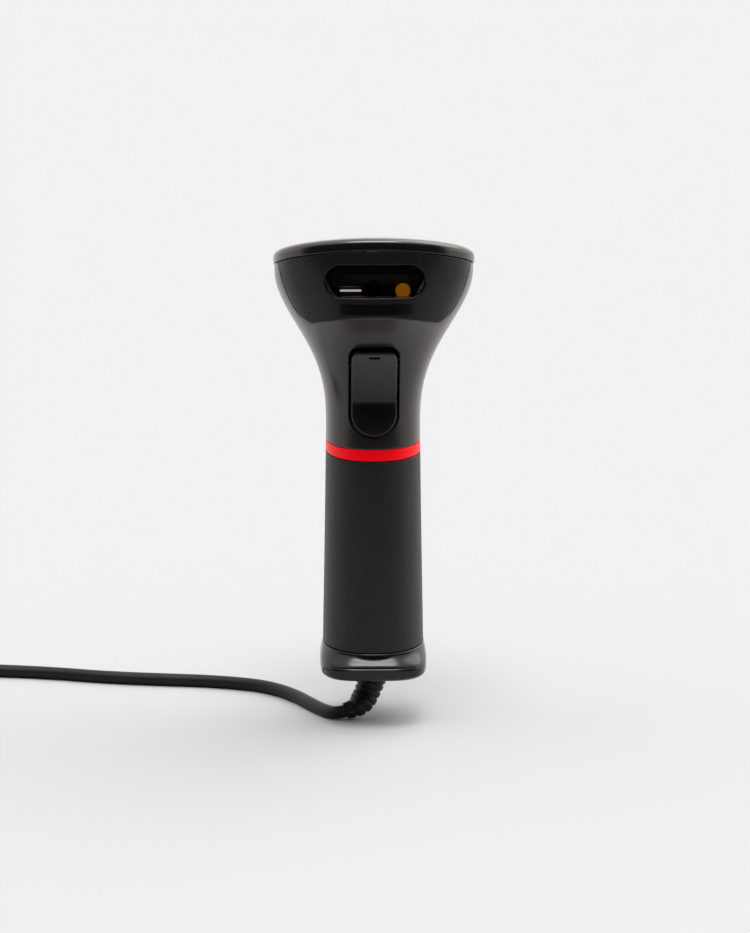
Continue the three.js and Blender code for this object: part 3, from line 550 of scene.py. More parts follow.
def join_loops(bm, edges, outer, inner):
    for edge in edges:
        loop = edge.link_loops[0]
        a, b = loop.vert, loop.link_loop_next.vert
        bm.faces.new((outer[b], outer[a], inner[a], inner[b]))


def finish_mesh(name, bm, sharp=50):
    """Turns a bmesh in millimetres above the base into a smooth mesh object in metres."""
    bmesh.ops.recalc_face_normals(bm, faces=bm.faces)
    for vert in bm.verts:
        vert.co.z -= HAND_HEIGHT
        vert.co *= MM
    mesh = bpy.data.meshes.new(name)
    bm.to_mesh(mesh)
    bm.free()
    mesh.polygons.foreach_set("use_smooth", [True] * len(mesh.polygons))
    mesh.set_sharp_from_angle(angle=math.radians(sharp))
    return new_object(name, mesh)


def grid_mesh(name, points, closed=False, cuts=(), cap=False, sharp=50):
    """A smooth mesh over a grid of points, cut and edged. A cap closes the last row."""
    depth = np.ones(points.shape[:2])
    owner = np.zeros(depth.shape, int)
    for number, cut in enumerate(cuts):
        less = cut.depth - cut.radius
        owner = np.where(less < depth, number, owner)
        depth = np.minimum(depth, less)
    points, depth, touched = snapped(points, depth, closed)
    bm = bmesh.new()
    verts = [bm.verts.new(p) for p in points.reshape(-1, 3)]
    for face in grid_faces(depth, closed):
        bm.faces.new([verts[i] for i in face])
    if cap:
        bm.faces.new(verts[-points.shape[1]:])
    bm.normal_update()
    for number, cut in enumerate(cuts):
        flat = np.flatnonzero(touched & (owner == number))
        add_rim(bm, {verts[i]: float(cut.radius.flat[i]) for i in flat}, cut)
    bmesh.ops.delete(bm, geom=[v for v in bm.verts if not v.link_faces], context="VERTS")
    return finish_mesh(name, bm, sharp)


def middle(row):
    """A row with all its points in another row's middle, which closes a grid's end."""
    return np.tile(row.mean(0), (1, len(row), 1))


def capped(points):
    return np.vstack([middle(points[0]), points, middle(points[-1])])


def tube_mesh(name, line, radius, sides):
    """A tube of changing radius along a line, its rings carried along without twisting."""
    line = np.array(line, float)
    tangent = np.gradient(line, axis=0)
    tangent /= np.linalg.norm(tangent, axis=1)[:, None]
    side = np.cross(tangent[0], (0, 1, 0))
    rings = []
    c, s = np.cos(circle(sides))[:, None], np.sin(circle(sides))[:, None]
    for point, direction, r in zip(line, tangent, radius):
        side = side - direction * side.dot(direction)
        side /= np.linalg.norm(side)
        rings.append(point + r * (c * side + s * np.cross(direction, side)))
    return grid_mesh(name, capped(np.array(rings)), closed=True)


def turned_grid(profile, axis, sides):
    """A grid of points, from (radius, distance) points turned about an axis."""
    c, s = np.cos(circle(sides)), np.sin(circle(sides))
    rows = []
    for radius, distance in profile:
        r, along = max(radius, 1e-4), np.full(sides, float(distance))
        rows.append(np.stack((r * c, along, r * s) if axis == "y" else (r * c, r * s, along), -1))
    return np.array(rows)


def turned_mesh(name, profile, place, axis="y", sides=64):
    return grid_mesh(name, place + turned_grid(profile, axis, sides), closed=True, sharp=35)


def round_over(radius, distance, width, height, count):
    """(radius, distance) points of a quarter ellipse that ends towards -Y."""
    turn = np.linspace(0, math.pi / 2, count)
    return list(zip(radius + width * np.cos(turn), distance - height * np.sin(turn)))


def show(piece, material, body="scanner", replaces=()):
    """Gives a new piece its material and body, and hides the CAD nodes that it stands for."""
    piece.data.materials.append(material)
    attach(piece, body)
    if replaces:
        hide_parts(*replaces)
    return piece


# ---- materials ----

def new_material(name):
    material = bpy.data.materials.new(name)
    return material, Nodes(material)


def surface(name, colour, darker, roughness, rough_range, grain, height, specular=0.5, **sockets):
    """A moulded surface: two close tones in soft patches, fine grain in relief and in its gloss.

    grain is the size of the fine texture and height its relief, both in millimetres.
    sockets are the shader's, with _ for a space.
    """
    material, n = new_material(name)
    place = n.place()
    patches, fine = n.noise(place, 60.0, 3.0), n.noise(place, 1 / (grain * MM))
    relief = n.bump(fine, height)
    shader = n.add("BsdfPrincipled", {
        "Base Color": n.mix(n.ramp(patches, 0.3, 0.7), colour, darker),
        "Roughness": n.ramp(fine, 0.25, 0.75, roughness - rough_range, roughness + rough_range),
        "Normal": relief, "Specular IOR Level": specular,
        **{name.replace("_", " "): value for name, value in sockets.items()},
    })
    n.end(shader)
    return material, n, shader, relief


def plastic(*args, **sockets):
    return surface(*args, **sockets)[0]


def blend_towards(n, shader, share, colour):
    """Adds one more colour over a shader's own."""
    tone = shader.inputs["Base Color"].links[0].from_socket
    n.set(shader.inputs["Base Color"], n.mix(share, tone, colour))


def grip_rubber():
    """Matte rubber with rows of small raised dots that slant round the grip."""
    material, n, shader, relief = surface(
        "grip_rubber", (0.0066, 0.006, 0.0068), (0.0052, 0.0047, 0.0055), 0.46, 0.05, 0.25, 0.01,
        specular=0.34, Sheen_Weight=0.015, Sheen_Roughness=0.4, Sheen_Tint=(1, 0.88, 0.8),
    )
    x, y, z = n.axes(n.place())
    round_grip = n.product(n.math("ARCTAN2", y, x), 19 * MM)
    pitch = 1.15 * MM
    waves = []
    for slope in (1.0, -1.0):
        slanted = n.total(n.product(round_grip, slope), z)
        waves.append(n.math("SINE", n.product(slanted, 2 * math.pi / (pitch * math.sqrt(2)))))
    dots = n.ramp(n.product(*waves), 0.05, 0.7)
    n.set(shader.inputs["Normal"], n.bump(dots, 0.09, Normal=relief))
    return material


def face_plastic():
    """The face's plastic, with a slightly darker strip without lettering under the window."""
    material, n, shader, _ = surface(
        "face_plastic", (0.014, 0.0126, 0.0148), (0.0118, 0.0106, 0.0126), 0.27, 0.03, 0.35, 0.004,
        IOR=1.5, specular=0.22,
    )
    x, y, z = n.axes(n.place())
    middle_x, middle_z = 0.4 * MM, (142.4 - HAND_HEIGHT) * MM
    across = n.math("ABSOLUTE", n.math("SUBTRACT", x, middle_x))
    height = n.math("ABSOLUTE", n.math("SUBTRACT", z, middle_z))
    strip = n.product(
        n.ramp(across, 12.7 * MM, 13.1 * MM, 1.0, 0.0),
        n.ramp(height, 1.8 * MM, 2.1 * MM, 1.0, 0.0),
    )
    blend_towards(n, shader, strip, (0.0006, 0.0006, 0.0007))
    return material


def trigger_plastic():
    """Glossy plastic with a painted highlight: its colour turns paler towards the trigger's top."""
    material, n, shader, _ = surface(
        "trigger_plastic", (0.0012, 0.0011, 0.0012), (0.0009, 0.0008, 0.0009), 0.15, 0.02, 0.5,
        0.002, IOR=1.5, specular=0.34,
    )
    low, high = ((edge + 1 - HAND_HEIGHT) * MM for edge in (BREAK, TRIGGER["top"]))
    # Painted highlight: the colour turns paler from just above the break up to the trigger's top.
    painted_highlight = n.ramp(n.axes(n.place())["Z"], low, high, kind="LINEAR")
    blend_towards(n, shader, painted_highlight, (0.048, 0.043, 0.042))
    return material


def metal(name, colour, roughness, streaks):
    """Bright metal with fine drawn streaks along X."""
    material, n = new_material(name)
    stretched = n.add("Mapping", {"Vector": n.place(), "Scale": (0.06, 1.0, 1.0)}).outputs[0]
    lines = n.noise(stretched, 9000.0)
    n.end(n.add("BsdfPrincipled", {
        "Base Color": n.mix(lines, colour, [c * 0.86 for c in colour]), "Metallic": 1.0,
        "Roughness": n.ramp(lines, 0.3, 0.7, roughness * 0.75, roughness * 1.3),
        "Normal": n.bump(lines, 0.01, streaks),
    }))
    return material


def window_acrylic():
    """A thin dark pane: mostly see-through, with a clear gloss on its face and some dust."""
    material, n = new_material("window_acrylic")
    dust = n.noise(n.place(), 2500.0)
    tint = n.mix(n.ramp(dust, 0.4, 0.8), (0.92, 0.90, 0.88), (0.86, 0.84, 0.82))
    clear = n.add("BsdfTransparent", {"Color": tint})
    gloss = n.add("BsdfGlossy", {
        "Color": (1, 1, 1), "Roughness": n.ramp(dust, 0.3, 0.8, 0.02, 0.08),
    })
    fresnel = n.add("Fresnel", {"IOR": 1.35})
    n.end(n.add("MixShader", {0: fresnel.outputs[0], 1: clear.outputs[0], 2: gloss.outputs[0]}))
    return material


def strap_fabric():
    """Woven hook-and-loop strap."""
    material, n, shader, relief = surface(
        "strap", (0.028, 0.028, 0.03), (0.016, 0.016, 0.017), 0.85, 0.08, 0.3, 0.05,
        Sheen_Weight=0.4, Sheen_Roughness=0.5,
    )
    weave = n.add("TexVoronoi", {"Vector": n.place(), "Scale": 2200.0}).outputs["Distance"]
    n.set(shader.inputs["Normal"], n.bump(weave, 0.12, 0.8, Normal=relief))
    return material


HOUSING = plastic(
    "housing_plastic", (0.0045, 0.0039, 0.0037), (0.0035, 0.003, 0.0029), 0.24, 0.03, 0.35, 0.003,
    IOR=1.5, specular=0.45, Sheen_Weight=0.16, Sheen_Roughness=0.6, Sheen_Tint=(1, 0.9, 0.83),
)
FACE = face_plastic()
COVER = plastic(
    "cover_plastic", (0.008, 0.0076, 0.009), (0.0066, 0.0062, 0.0075), 0.2, 0.03, 0.4, 0.003,
    IOR=1.55, specular=0.6,
)
TRIGGER_GLOSS = trigger_plastic()
BASE_GLOSS = plastic(
    "base_plastic", (0.003, 0.0027, 0.003), (0.0023, 0.002, 0.0023), 0.16, 0.03, 0.5, 0.002,
    IOR=1.5, specular=0.36,
)
GRIP = grip_rubber()
# The emission is painted light: the red plastic ring glows a little, though it is no lamp.
RING = plastic(
    "ring_plastic", (0.9, 0.0006, 0.007), (0.84, 0.0005, 0.006), 0.34, 0.04, 0.4, 0.003,
    specular=0.16, Emission_Color=(1.0, 0.0, 0.008), Emission_Strength=0.17,
)
WINDOW_PANE = window_acrylic()
LENS = plastic(
    "lens_glass", (0.006, 0.006, 0.010), (0.004, 0.004, 0.007), 0.06, 0.02, 0.4, 0.0005,
    specular=0.2, Coat_Weight=0.1, Coat_Roughness=0.03,
)
# The emission is painted light: the amber lens glows a little to stand in for light that hardly
# reaches it in the recess behind the window.
AMBER = plastic(
    "lamp_amber", (0.80, 0.32, 0.012), (0.70, 0.26, 0.008), 0.3, 0.06, 0.3, 0.01,
    Emission_Color=(0.75, 0.24, 0.006), Emission_Strength=0.22,
)
NICKEL = metal("bright_metal", (0.82, 0.81, 0.79), 0.22, 0.5)
STEEL = metal("steel", (0.5, 0.5, 0.51), 0.34, 1.0)
BLACK_STEEL = metal("black_steel", (0.03, 0.03, 0.032), 0.42, 1.0)
GOLD = metal("contact_gold", (0.85, 0.62, 0.25), 0.25, 0.5)
ENGINE = plastic(
    "component_black", (0.05, 0.043, 0.027), (0.04, 0.034, 0.021), 0.5, 0.06, 0.3, 0.01,
)
CLEAR = plastic(
    "clear_plastic", (0.72, 0.78, 0.74), (0.66, 0.72, 0.68), 0.18, 0.05, 0.4, 0.003,
    Transmission_Weight=0.6, IOR=1.49,
)
CORD_PVC = plastic(
    "cord_pvc", (0.0078, 0.0078, 0.0084), (0.0062, 0.0062, 0.0068), 0.46, 0.05, 0.35, 0.006,
    specular=0.22,
)
BOOT_RUBBER = plastic(
    "boot_rubber", (0.0028, 0.0028, 0.003), (0.002, 0.002, 0.0022), 0.36, 0.05, 0.35, 0.006,
    specular=0.28,
)
# The aimer's pale, partly metallic bar; its emission is a painted highlight: the bright line along
# the bar, which the light in the recess does not reach.
PAINTED_HIGHLIGHT_BAR = plastic(
    "aimer_painted_highlight", (0.75, 0.73, 0.70), (0.68, 0.66, 0.63), 0.35, 0.06, 0.3, 0.01,
    Metallic=0.4, Emission_Color=(1.0, 0.96, 0.91), Emission_Strength=0.45,
)
STRAP = strap_fabric()
PLUG_PLASTIC = plastic(
    "plug_plastic", (0.8, 0.79, 0.75), (0.74, 0.73, 0.69), 0.4, 0.06, 0.4, 0.005,
)
for hidden in (
    ("gasket_foam", (0.006, 0.006, 0.006), (0.004, 0.004, 0.004), 0.9, 0.05, 0.3, 0.05),
    ("inner_plastic", (0.05, 0.05, 0.055), (0.04, 0.04, 0.045), 0.55, 0.06, 0.4, 0.01),
    ("circuit_board", (0.015, 0.10, 0.04), (0.010, 0.07, 0.03), 0.4, 0.08, 0.6, 0.01),
    ("ribbon", (0.7, 0.68, 0.62), (0.6, 0.58, 0.53), 0.45, 0.06, 0.5, 0.01),
):
    plastic(*hidden)


# ---- the scanner's shells ----

def make_front_housing():
    levels = rounded_levels(RING_TOP + SPLIT, RIM - SPLIT, 0.42)
    points = body_grid(levels, 230, front=True)
    x, y, z = np.moveaxis(points, -1, 0)
    face = -inside(x, z, face_outline()) - 0.12
    trigger = -inside(x, z, trigger_outline(0.9, 2))
    cuts = [
        Cut(np.where(y < -12, depth, UNCUT), radius, wall, BACKWARD)
        for depth, radius, wall in ((face, 0.1, 3), (trigger, 0.4, 16))
    ]
    show(grid_mesh("front_shell", points, cuts=cuts), HOUSING, replaces=["front_housing"])


def make_rear_housing():
    levels = rounded_levels(RING_TOP + SPLIT, RIM - SPLIT, 0.6)
    points = body_grid(levels, 160, front=False)
    x, y, z = np.moveaxis(points, -1, 0)
    cuts = []
    for side in (-1, 1):
        hole = np.hypot(x - side * SCREW["x"], z - SCREW["z"]) - SCREW["sink"]
        cuts.append(Cut(np.where(y > 8, hole, UNCUT), 0.3, 5.6, -BACKWARD, floor=True))
    show(grid_mesh("rear_shell", points, cuts=cuts), HOUSING, replaces=["rear_housing"])


def make_top_cover():
    turn_up, turn_in = rounding(0.3)
    edge = [(SPLIT, WALL), *zip(SPLIT + turn_up, turn_in - COVER_PROUD)]
    dome = catmull([
        (0.45, -COVER_PROUD), (2.2, -COVER_PROUD), (3.3, -0.1), (4.1, 0.8), (4.7, 2.6), (5.3, 8),
        (6, 18), (6.3, 27),
    ], 9)
    points = body_grid([(RIM + up, inset) for up, inset in (*edge, *dome)], 360)
    centre = points[-1].mean(0)
    closing = [centre + (points[-1] - centre) * reach for reach in np.linspace(0.9, 0.02, 14)]
    points = np.concatenate([points, closing])
    hole = np.hypot(points[..., 0], points[..., 1] - LIGHT_PIPE_Y) - 2.5
    cut = Cut(hole, 0.25, 1.5, Vector((0, 0, -1)))
    cover = grid_mesh("cover", points, closed=True, cuts=[cut], cap=True)
    show(cover, COVER, replaces=["top_cover"])
    pipe = [
        (2.2, 149.4), (2.2, 155.5), (2.1, 155.9), (1.8, 156.2), (1.3, 156.45), (0.7, 156.55),
        (0, 156.6),
    ]
    pipe = turned_mesh("light_pipe", pipe, (0, LIGHT_PIPE_Y, 0), axis="z", sides=48)
    show(pipe, CLEAR, replaces=["status_light_pipe"])


def make_face():
    def proud_grid(levels, count):
        return body_grid([(s, inset - face_proud(s)) for s, inset in levels], count, front=True)

    def window(smaller=0.0):
        return stadium(WINDOW["half"] - smaller, WINDOW["high"] - smaller, z=WINDOW["z"])

    points = proud_grid(rounded_levels(LIP - 7, RIM - SPLIT, 0.34, 0.35), 300)
    x, y, z = np.moveaxis(points, -1, 0)
    outline = np.where(y > -17, CUT_AWAY, inside(x, z, face_outline()))
    opening = -inside(x, z, window())
    radius = 0.6 - 0.45 * smooth(z, LIP + 9, LIP + 14)    # the edge is sharper beside the window
    cuts = [Cut(outline, radius, 2.2, BACKWARD), Cut(opening, 0.35, 2, BACKWARD)]
    show(grid_mesh("face", points, cuts=cuts), FACE, replaces=["face_bezel"])
    behind_face = 0.75
    points = proud_grid([(s, behind_face) for s in np.linspace(130, 153.5, 70)], 200)
    x, y, z = np.moveaxis(points, -1, 0)
    outline = np.where(y > -20, CUT_AWAY, inside(x, z, window(0.15)))
    pane = grid_mesh("window_pane", points, cuts=[Cut(outline, 0.1, 0.9, BACKWARD)])
    show(pane, WINDOW_PANE, replaces=["scan_window"])


def make_grip():
    for name, low, high, step, radius, material, node in (
        ("grip", SEAM_HEIGHT, RING_BOTTOM, 1.2, 0.35, GRIP, "grip_sleeve"),
        ("red_ring", RING_BOTTOM, RING_TOP, 0.4, 0.3, RING, "accent_ring"),
    ):
        points = body_grid(rounded_levels(low + SPLIT, high - SPLIT, step, radius), 280)
        show(grid_mesh(name, points, closed=True), material, replaces=[node])


def scoop_depth(h, x):
    """How far the base's front is hollowed: a round hollow, deepest near its top."""
    ledge, top, half, deep = 4.7, 11.2, 15.5, 2.1
    up = (h - ledge) / (top - ledge)
    if up <= 0 or up >= 1:
        return np.zeros_like(x)
    across = np.clip(1 - (x / half) ** 2, 0, 1)
    step = 0.3 * min(1, up / 0.05) * (1 - up) * across**0.4
    return deep * 2.6 * up**2.2 * (1 - up) ** 0.35 * across + step


def make_base():
    """The base cap, from the bore of its hole under the floor of the cap to its upper edge."""
    top, radius, bore, count = SEAM_HEIGHT - SPLIT, 0.3, 5.6, 360
    rim = np.stack(ring(base_section(0), 0, count), -1)
    hole = bore * rim / np.linalg.norm(rim, axis=1)[:, None]
    rows = [np.column_stack([hole, np.full(count, h)]) for h in (2.4, 0.3)]
    for share in np.linspace(0.03, 0.97, 24):
        rows.append(np.column_stack([hole + (rim - hole) * share, np.zeros(count)]))
    turn_up, turn_in = rounding(radius)
    levels = [(h, 0) for h in np.linspace(0, top - radius, 110)]
    levels += [*zip(top - turn_up[::-1], turn_in[::-1]), (top, WALL)]
    for h, inset in levels:
        x, y = ring(base_section(h), inset, count)
        y = np.where(y < 0, y + scoop_depth(h, x), y)
        rows.append(np.stack([x, y, h - tilt(h) * y], -1))
    points = np.array(rows)
    x, y, z = np.moveaxis(points, -1, 0)
    sink = np.where(z > 0.1, UNCUT, np.hypot(x, y - BASE_SCREW_Y) - SCREW["sink"])
    cut = Cut(sink, 0.2, 0.8, Vector((0, 0, 1)))
    show(grid_mesh("base", points, closed=True, cuts=[cut]), BASE_GLOSS, replaces=["base_cap"])


def trigger_front(z):
    """Y of the trigger's front: nearly upright below the break, leaning out above it."""
    bend, steep, leaning = 0.7, 0.09, 0.468
    out = steep * (z - TRIGGER["bottom"]) + leaning * bend * np.log1p(np.exp((z - BREAK) / bend))
    return -22.2 - out


def make_trigger():
    low, high = TRIGGER["bottom"] - 0.5, TRIGGER["top"] + 0.5
    half, bow_out = TRIGGER["half"] + 0.8, 0.012
    z, x = np.meshgrid(np.linspace(low, high, 136), np.linspace(-half, half, 76), indexing="ij")
    points = np.stack([x, trigger_front(z) + bow_out * x * x, z], -1)
    outline = inside(x, z, trigger_outline())
    slot = -inside(x, z, stadium(2, 0.4, z=122.5, count=12))
    cuts = [
        Cut(outline, 0.5, TRIGGER["thick"] + 1.5, BACKWARD),
        Cut(slot, 0.1, 0.9, BACKWARD, floor=True),
    ]
    button = grid_mesh("trigger_button", points, cuts=cuts)
    show(button, TRIGGER_GLOSS, body="trigger_lever", replaces=["trigger"])


# ---- the reading engine behind the window ----

def make_engine():
    on_axis, lamp_x, bar_y = (0, 0, ENGINE_AXIS), 10, -41.5
    barrel = [
        (2.6, -36.4), (2.6, -40.7), (2.75, -40.95), (3.0, -41), (3.5, -41), (3.65, -40.9),
        (3.7, -40.7), (3.7, -36.4),
    ]
    show(turned_mesh("lens_barrel", barrel, on_axis), ENGINE, replaces=["camera_barrel"])
    dome = [(2.4, -38.8), (2.4, -39.3), *round_over(0, -39.3, 2.4, 0.85, 14)]
    show(turned_mesh("lens_dome", dome, on_axis), LENS, replaces=["camera_lens"])
    # The aiming bar carries the painted highlight; the rail and the ledge are plain steel.
    for name, radius, centre, half, above, material in (
        ("aiming_bar", 0.36, AIMER_X, 3.9, 0.3, PAINTED_HIGHLIGHT_BAR),
        ("aiming_rail", 0.18, AIMER_X, 3.9, 1.8, STEEL),
        ("engine_ledge", 0.3, 0, 12.6, -2.1, STEEL),
    ):
        across = np.linspace(-half, half, 60)
        bar = [(centre + x, bar_y, ENGINE_AXIS + above) for x in across]
        thick = radius * np.sqrt(np.clip((half - np.abs(across)) / radius, 0.02, 1))
        piece = tube_mesh(name, bar, thick, 24)
        show(piece, material, replaces=["aimer_plate"])
    lamp = [(2.6, -38), (2.6, -40.1), *round_over(2.2, -40.1, 0.4, 0.4, 6)]
    lamp += [(r, -40.5 - 0.6 * (1 - (r / 2.2) ** 2)) for r in np.linspace(2.0, 0, 10)]
    show(turned_mesh("lamp_dome", lamp, (lamp_x, 0, ENGINE_AXIS)), AMBER, replaces=["lamp_lens"])


# ---- strain relief, cord and plug ----

def make_boot():
    line = catmull(BOOT_PATH, 60)
    along = length_along(line)
    long = along[-1]
    at = np.linspace(0, long, 420)
    line = np.stack([np.interp(at, along, line[:, i]) for i in range(3)], -1)
    ribbed, pitch, groove_depth = 7.6, 2.5, 0.45
    taper = 5.35 - 0.5 * smooth(at, 8, 16) - 1.7 * smooth(at, 17, long)
    wave = ((at - ribbed) % pitch) / pitch
    groove = 1 - smooth(np.abs(wave - 0.02), 0.1, 0.24) * smooth(np.abs(wave - 1.02), 0.1, 0.24)
    within = smooth(at, ribbed - 0.3, ribbed + 0.2) * (1 - smooth(at, long - 1.9, long - 1.4))
    boot = tube_mesh("boot", line, taper - groove_depth * groove * within, 56)
    show(boot, BOOT_RUBBER, replaces=["strain_relief"])


def make_screw(name, place, axis, facing, long):
    """A screw with a thread, a domed head and a six-lobed recess; its head faces along the axis."""
    head, shaft, under, thread_pitch, dome_rows = SCREW["head"], SCREW["shaft"], 1.35, 0.8, 26
    down = np.linspace(long, under + 0.05, 90)
    thread = shaft * (1 - 0.1 * (1 + np.sin(2 * math.pi * down / thread_pitch)))
    profile = [(0.02, long), *zip(thread, down), (shaft, under), (head - 0.15, under)]
    profile += [(head, 1.2), (head, 0.7), (head - 0.1, 0.45), (head - 0.3, 0.28)]
    profile += [(r, 0.28 * (r / head) ** 2) for r in np.linspace(head - 0.45, 0.02, dome_rows)]
    points = turned_grid([(r, -facing * t) for r, t in profile], axis, 72)
    a, b = points[..., 0], points[..., 2 if axis == "y" else 1]
    lobes = np.hypot(a, b) - head * (0.42 + 0.06 * np.cos(6 * np.arctan2(b, a)))
    on_dome = np.arange(len(profile)) >= len(profile) - dome_rows
    recess = np.where(on_dome[:, None], lobes, UNCUT)
    inwards = Vector((0, -facing, 0)) if axis == "y" else Vector((0, 0, -facing))
    cut = Cut(recess, 0.05, 0.7, inwards, floor=True)
    screw = grid_mesh(name + "_detail", place + points, closed=True, cuts=[cut], sharp=35)
    show(screw, BLACK_STEEL, replaces=[name])


def make_strap():
    """A hook-and-loop strap round one side of the coil, its end lapped over its start."""
    wide, thick, corner, slack, turned = 9, 0.7, 2.2, 0.6, math.radians(-35)
    hole = COIL["inner"] - CORD / 2 - 0.3
    inner = math.sqrt(hole**2 - (wide / 2) ** 2) - slack - thick / 2
    outer = COIL["outer"] + CORD / 2 + slack + thick / 2
    low = FLOOR + thick / 2
    high = low + COIL["lift"] + 2 * COIL["pitch"] + 0.3
    lapped = high + thick + 0.15
    route = [(inner + 10, high), (inner + corner, high)]
    for u, z, start in (
        (inner + corner, high - corner, 90), (inner + corner, low + corner, 180),
        (outer - corner, low + corner, 270), (outer - corner, high - corner, 0),
    ):
        for turn in np.radians(np.linspace(start, start + 90, 9)):
            route.append((u + corner * math.cos(turn), z + corner * math.sin(turn)))
    route += [(outer - 8, high), (inner + 13, high), (inner + 9, lapped - 0.05)]
    line = catmull(route + [(inner + 6, lapped), (inner + 4.5, lapped)], 5)
    tangent = np.gradient(line, axis=0)
    tangent /= np.linalg.norm(tangent, axis=1)[:, None]
    across = wide / 2 * superellipse(circle(40), 8)[0]
    lift = thick / 2 * superellipse(circle(40), 4)[1]
    rows = []
    for (u, z), (along_u, along_z) in zip(line, tangent):
        out = u - along_z * lift
        x = COIL["x"] + out * math.cos(turned) - across * math.sin(turned)
        y = COIL["y"] + out * math.sin(turned) + across * math.cos(turned)
        rows.append(np.stack([x, y, z + along_u * lift], -1))
    band = grid_mesh("strap_band", capped(np.array(rows)), closed=True)
    return show(band, STRAP, replaces=["cable_tie"])


def loft(xs, wide, high, power, centre, count=96):
    """Superelliptic rings along X, with their half widths and half heights."""
    y, z = superellipse(circle(count), power)
    return np.array([
        np.stack([np.full(count, x), centre[0] + w * y, centre[1] + h * z], -1)
        for x, w, h in zip(xs, wide, high)
    ])


def plug_body(centre):
    """The moulded body: rounded ends, a waist and ridges for the fingers."""
    long, wide, high = PLUG["long"], PLUG["wide"] / 2 - 0.1, PLUG["high"] / 2 - 0.05
    back_radius, front_radius = 1.2, 0.8
    xs = np.concatenate([
        [0], back_radius * (1 - np.cos(np.linspace(0.15, math.pi / 2, 10))),
        np.linspace(1.3, long - 0.9, 170),
        long - front_radius * (1 - np.sin(np.linspace(0, 1.4, 8)))[1:], [long],
    ])
    turn = np.clip(xs / back_radius, 0, 1)
    ends = np.sqrt(turn * (2 - turn))
    ends = np.minimum(ends, 1 - 0.12 * smooth(xs, long - front_radius, long))
    shut = np.where(ends > 0.05, 1, 0.02)
    ridges = 0.28 * np.clip(np.sin(2 * math.pi * (xs - 5) / 1.9), 0, 1)
    ridges *= smooth(xs, 5, 6) * (1 - smooth(xs, 15, 16))
    waist = 1 - 0.1 * smooth(xs, 2, 7) * (1 - smooth(xs, 14, 19))
    halves = wide * waist * (0.82 + 0.18 * ends) * shut - ridges
    heights = high * (0.75 + 0.25 * ends) * shut - 0.6 * ridges
    halves[-1], heights[-1] = 0.05, 0.05
    points = loft(PLUG["back"] + xs, halves.clip(0.02), heights.clip(0.02), 4, centre)
    body = grid_mesh("plug_body", points, closed=True, sharp=60)
    return show(body, BOOT_RUBBER, replaces=["usb_overmould"])


def plug_shell(centre, start, end):
    """The folded shell with its latch windows: out to the mouth and back inside it."""
    thick, reach, outer_rows, inner_rows = 0.35, 12, 120, 30
    window_x, window_y, window_half = start + 8.2, 2.6, 1.15
    xs = np.concatenate([
        np.linspace(start, end - 0.15, outer_rows), [end - 0.05, end, end, end - 0.1],
        np.linspace(end - 0.3, end - reach, inner_rows),
    ])
    inset = [np.zeros(outer_rows), [0.04, 0.12, 0.24, thick], np.full(inner_rows, thick)]
    inset = np.concatenate(inset)
    points = capped(loft(xs, USB["wide"] / 2 - inset, USB["high"] / 2 - inset, 12, centre, 180))
    x, y, z = np.moveaxis(points, -1, 0)
    outside = np.arange(len(points))[:, None] <= outer_rows
    flat = outside & (np.abs(z - centre[1]) > 2)
    cuts = []
    for side in (-1, 1):
        off_y = np.abs(y - centre[0] - side * window_y)
        window = np.maximum(np.abs(x - window_x), off_y) - window_half
        cuts.append(Cut(np.where(flat, window, UNCUT), 0.04, 0.3, floor=True))
    shell = grid_mesh("plug_shell", points, closed=True, cuts=cuts, sharp=40)
    return show(shell, NICKEL, replaces=["usb_shell"])


def plug_tongue(centre, end):
    """The plastic tongue and the four contacts on it."""
    wide, high, edge, recess, back = 5.2, 0.85, 0.3, 0.9, 11.9
    turn_x, turn_in = rounding(edge)
    xs = [[-back], np.linspace(-back, -recess, 40), edge - recess - turn_x[::-1]]
    inset = np.concatenate([[wide], np.zeros(40), turn_in[::-1]])
    halves, heights = (wide - inset).clip(0.02), (high - inset).clip(0.02)
    lowered = (centre[0], centre[1] - 0.65)
    points = loft(end + np.concatenate(xs), halves, heights, 14, lowered, 120)
    tongue = grid_mesh("plug_tongue", np.vstack([points, middle(points[-1])]), closed=True)
    pieces = [show(tongue, PLUG_PLASTIC, replaces=["usb_insulator"])]
    for number, (y, tip) in enumerate(((-3.5, 1.2), (-1.0, 2.0), (1.0, 2.0), (3.5, 1.2)), 1):
        xs = np.linspace(end - 9.5, end - tip, 30)
        taper = np.minimum(1, np.minimum(xs - xs[0], xs[-1] - xs) / 0.3 + 0.02)
        place = (centre[0] + y, centre[1] + 0.24)
        points = loft(xs, 0.5 * np.sqrt(taper), 0.07 * taper, 6, place, 24)
        contact = grid_mesh(f"plug_contact_{number}", points, closed=True)
        pieces.append(show(contact, GOLD, replaces=["usb_insulator"]))
    return pieces


def make_plug():
    centre = (PLUG["y"], FLOOR + PLUG["high"] / 2)
    start = PLUG["back"] + PLUG["long"] + 0.3
    end = start + USB["long"]
    return [plug_body(centre), plug_shell(centre, start, end), *plug_tongue(centre, end)]


def soften(names, width):
    """Small rounded edges on the carried-over parts that keep their own shape."""
    for name in names:
        bevel = frame["nodes"][name].modifiers.new("rounded_edges", "BEVEL")
        bevel.width = width * MM
        bevel.segments = 3
        bevel.limit_method = "ANGLE"
        bevel.angle_limit = math.radians(40)


def round_coil(radius, turn, layer):
    """Points round the coil's middle; turn counts whole turns and layer its height."""
    angle, height = 2 * math.pi * turn, FLOOR + COIL["lift"] + CORD / 2 + COIL["pitch"] * layer
    return np.stack([
        COIL["x"] + radius * np.cos(angle), COIL["y"] + radius * np.sin(angle),
        np.broadcast_to(height, angle.shape),
    ], -1)


def spiral(layer, from_turn, radii):
    """One layer of the coil: an even spiral, counter-clockwise from above."""
    turn = np.linspace(0, COIL["turns"], 48 * COIL["turns"], endpoint=False)
    return round_coil(np.linspace(*radii, len(turn), endpoint=False), from_turn + turn, layer)


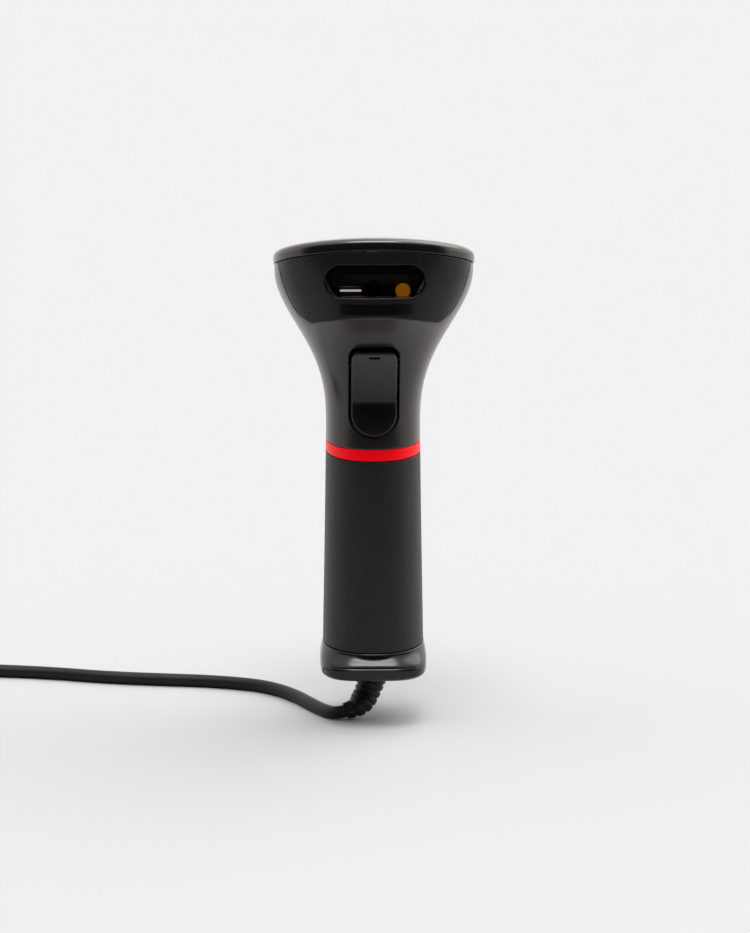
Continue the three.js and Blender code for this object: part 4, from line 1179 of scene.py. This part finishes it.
def cord_line():
    """The lead's whole route: from the boot over the surface, round the coil and to the plug."""
    inner, outer = COIL["inner"], COIL["outer"]
    lower = spiral(0, 0.25, (outer, inner))
    upper = spiral(1, 0.5, (inner, outer))
    turn = np.linspace(0, 0.25, 12, endpoint=False)
    climb = round_coil(inner, 0.25 + turn, smooth(turn, 0, 0.25))
    run = catmull([BOOT_PATH[-1]] + RUN_PATH + [lower[0]], 12)
    tail = catmull([upper[-1], (COIL["x"] - outer, COIL["y"], upper[-1][2])] + TAIL_PATH, 12)
    return np.vstack([run[:-1], lower, climb, upper, tail[1:]])


def make_cord(with_pieces):
    line = cord_line()
    curve = bpy.data.curves.new("cord", "CURVE")
    curve.dimensions = "3D"
    curve.bevel_depth = CORD / 2 * MM
    curve.bevel_resolution = 7
    curve.use_fill_caps = True
    spline = curve.splines.new("POLY")
    spline.points.add(len(line) - 1)
    for point, (x, y, z) in zip(spline.points, line):
        point.co = (x * MM, y * MM, (z - HAND_HEIGHT) * MM, 1)
    spline.use_smooth = True
    cord = new_object("cord", curve)
    show(cord, CORD_PVC, replaces=["cable_run", "cable_coil", "cable_tail"])
    x, y, z = BOOT_PATH[-1]


def carry_over():
    """Materials for the CAD nodes, whose record slots have the materials' names."""
    for part in frame["record"]["subparts"]:
        node = frame["nodes"][part["node"]]
        node.data.materials.clear()
        node.data.materials.append(bpy.data.materials[part["material_slot"]])
    for name in ("trigger_pin", "housing_screw_left", "housing_screw_right"):
        frame["nodes"][name].data.materials[0] = BLACK_STEEL


set_camera()
set_world()
set_floor()
carry_over()
make_front_housing()
make_rear_housing()
make_top_cover()
make_face()
make_grip()
make_base()
make_trigger()
make_engine()
make_boot()
for side, end in ((-1, "left"), (1, "right")):
    make_screw(f"housing_screw_{end}", (side * SCREW["x"], 14.5, SCREW["z"]), "y", 1, 22)
make_screw("base_screw", (0, BASE_SCREW_Y, 0.05), "z", -1, 13.5)
soften(["scan_engine", "window_gasket", "engine_bracket", "cable_socket", "cable_jack"], 0.2)
make_cord([make_strap(), *make_plug()])
